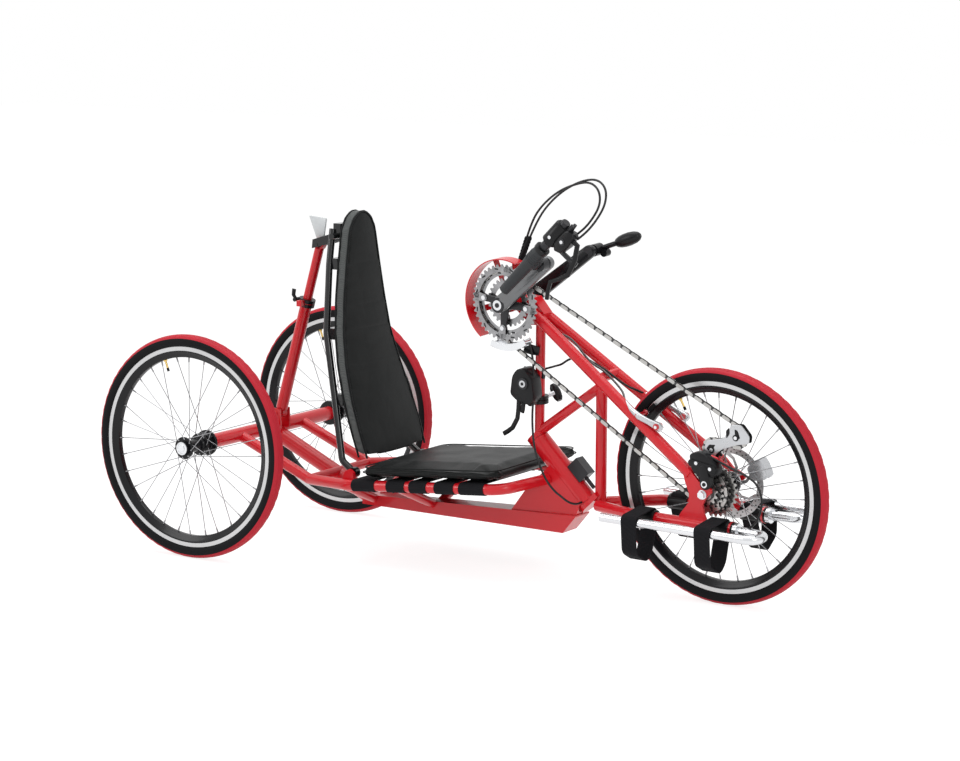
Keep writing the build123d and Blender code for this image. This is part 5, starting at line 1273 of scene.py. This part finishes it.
def cable(name, route, place, used, body=None, bends=None, nodes=()):
    """A cable housing along its route, on one body, or with bends given, on no body and baked in place."""
    line = bpy.data.curves.new(name, "CURVE")
    line.dimensions = "3D"
    spline = line.splines.new("NURBS")
    spline.points.add(len(route) - 1)
    for point, spot in zip(spline.points, route):
        point.co = (*(place @ Vector(spot)), 1)
    spline.order_u = 3
    spline.use_endpoint_u = True
    line.resolution_u = 12
    carrier = new_object(name + "_line", line)
    bare = bpy.data.meshes.new_from_object(carrier.evaluated_get(bpy.context.evaluated_depsgraph_get()))
    line.bevel_depth = CABLE / 2000
    line.bevel_resolution = 3
    line.use_fill_caps = True
    bpy.context.view_layer.update()
    tube = bpy.data.meshes.new_from_object(carrier.evaluated_get(bpy.context.evaluated_depsgraph_get()))
    bpy.data.objects.remove(carrier)
    made = new_object(name, tube)
    tube.materials.clear()
    tube.materials.append(used)
    tube.shade_smooth()
    if bends:
        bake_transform(made)
    else:
        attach(made, body)
    if nodes:
        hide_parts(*nodes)


CRANK_CABLES = (
    ("crank_cable_brake", 0.4583, (
        (751, -7, 775), (776, -12, 816), (813, -22, 855), (864, -36, 891), (920, -51, 916),
        (972, -67, 926), (1006, -83, 911), (1014, -97, 880), (1000, -109, 847), (976, -119, 816),
        (957, -124, 802),
    )),
    ("crank_cable_shift", 0.4477, (
        (733, 7, 772), (753, 0, 812), (790, -13, 850), (844, -29, 886), (902, -46, 908),
        (952, -63, 918), (986, -79, 904), (997, -93, 875), (984, -106, 844), (962, -115, 818),
        (944, -121, 806),
    )),
)
HELD_CABLES = (
    ("rim_brake_cable_right", 0.2948, (
        (779, 0, 586), (795, -1, 573), (813, -3, 563), (842, -3, 559), (864, -3, 545), (886, -4, 522),
        (909, -6, 503), (940, -8, 492), (964, -11, 476), (988, -16, 459), (1006, -27, 448),
        (1017, -42.6, 436.3),
    )),
    ("rim_brake_cable_left", 0.3885, (
        (746, -30, 452), (732, -8, 456), (734, 16, 461), (753, 32, 468), (778, 29, 476), (800, 14, 484),
        (819, 5, 490), (841, 2, 505), (867, 2, 513), (888, 2, 512), (911, 2, 502), (940, 0, 492),
        (964, 2, 476), (988, 8, 459), (1006, 24, 448), (1017, 42.6, 436.3),
    )),
    ("derailleur_loop", 0.2542, (
        (1244, -62, 345), (1276, -62, 333), (1306, -65, 324), (1334, -70, 318), (1368, -78, 305),
        (1382, -80, 272), (1374, -78, 238), (1360, -75, 214), (1338, -71, 199),
    )),
)
HANGING_CABLE = (
    (757, -46, 537), (767, -48, 505), (770, -50, 465), (771, -52, 413), (771, -56, 370),
    (778, -62, 324), (792, -72, 291), (808, -80, 267), (823, -80, 239), (839, -70, 214),
    (855, -70, 205), (867.5, -62, 192.5), (876.5, -49.5, 185.5), (882.5, -33.5, 184), (884, -18, 187),
)
for number, (name, length, route) in enumerate(CRANK_CABLES):
    ends_at = [STEERED @ Vector(route[0]), STEERED @ Vector(route[-1])]
    cable(name, route, STEERED, housing_black, bends=("front_unit", "crank", *ends_at),
          nodes=("crank_cables",) if number == 0 else ())
for number, (name, length, route) in enumerate(HELD_CABLES):
    cable(name, route, STEERED, housing_grey if number == 0 else housing_black, body="front_unit",
          nodes=("control_cables",) if number == 0 else ())
cable("derailleur_hanging_cable", HANGING_CABLE, FIXED, housing_black,
      bends=("frame", "front_unit", FIXED @ Vector(HANGING_CABLE[-1]), FIXED @ Vector(HANGING_CABLE[0])),
      nodes=("derailleur_cable",))

# Back frame and damper: bent tube in black gloss behind the pad, and a small damper in dark alloy
# that steadies the steering.
gloss_black = painted("gloss_black_tube", (0.012, 0.012, 0.013), (0.007, 0.007, 0.008), 0.2, 0.08, 300,
                      0.00001, coat=0.4, specular=0.3)
dress(gloss_black, "back_frame")
dress(dark_alloy, "steering_damper")

# Pale plate at the head of the strut: a thin milky sheet that stands on the strut's eye and widens
# upwards.
milky_sheet = painted("milky_sheet", (0.74, 0.77, 0.78), (0.66, 0.69, 0.70), 0.22, 0.1, 200, 0.00001)
STRUT_EYE = (150.0, 716.0)
FLAG = ((-31.5, 66.5), (18.5, 62.5), (9.8, 10), (-7.6, 8))
flag = bmesh.new()
plate(flag, [(STRUT_EYE[0] + x, STRUT_EYE[1] + z) for x, z in FLAG], -2.2, 2.2, rim=0.4, corner=3)
piece("strut_plate", flag, FIXED, [milky_sheet], "strut_upper", sharp=30)

# Strut clamp: a black collar of two rings round the top of the lower tube, with a bolt behind them
# and a quick-release lever at the bolt's end.
STRUT_FOOT = Vector((32.0, 0, 302.0))
strut_run = (Vector((STRUT_EYE[0], 0, STRUT_EYE[1])) - STRUT_FOOT).normalized()
collar = bmesh.new()
bar(collar, STRUT_FOOT + strut_run * 275, STRUT_FOOT + strut_run * 283, 19.8, sides=32)
bar(collar, STRUT_FOOT + strut_run * 285, STRUT_FOOT + strut_run * 293, 19.8, sides=32)
across = STRUT_FOOT + strut_run * 284 - Vector((24, 0, -6))
bar(collar, across - Vector((0, 17, 0)), across + Vector((0, 17, 0)), 5.0, sides=16)
quick_lever = (((2, -15, 3), 4, 3), ((-1, -19, 12), 5, 3), ((1, -19, 26), 5.5, 2.6))
section_loft(collar, [(across + Vector(at), wide, high) for at, wide, high in quick_lever], square=0.7,
             sides=14)
piece("strut_collar", collar, FIXED, [black_plastic], "strut_lower", sharp=35)
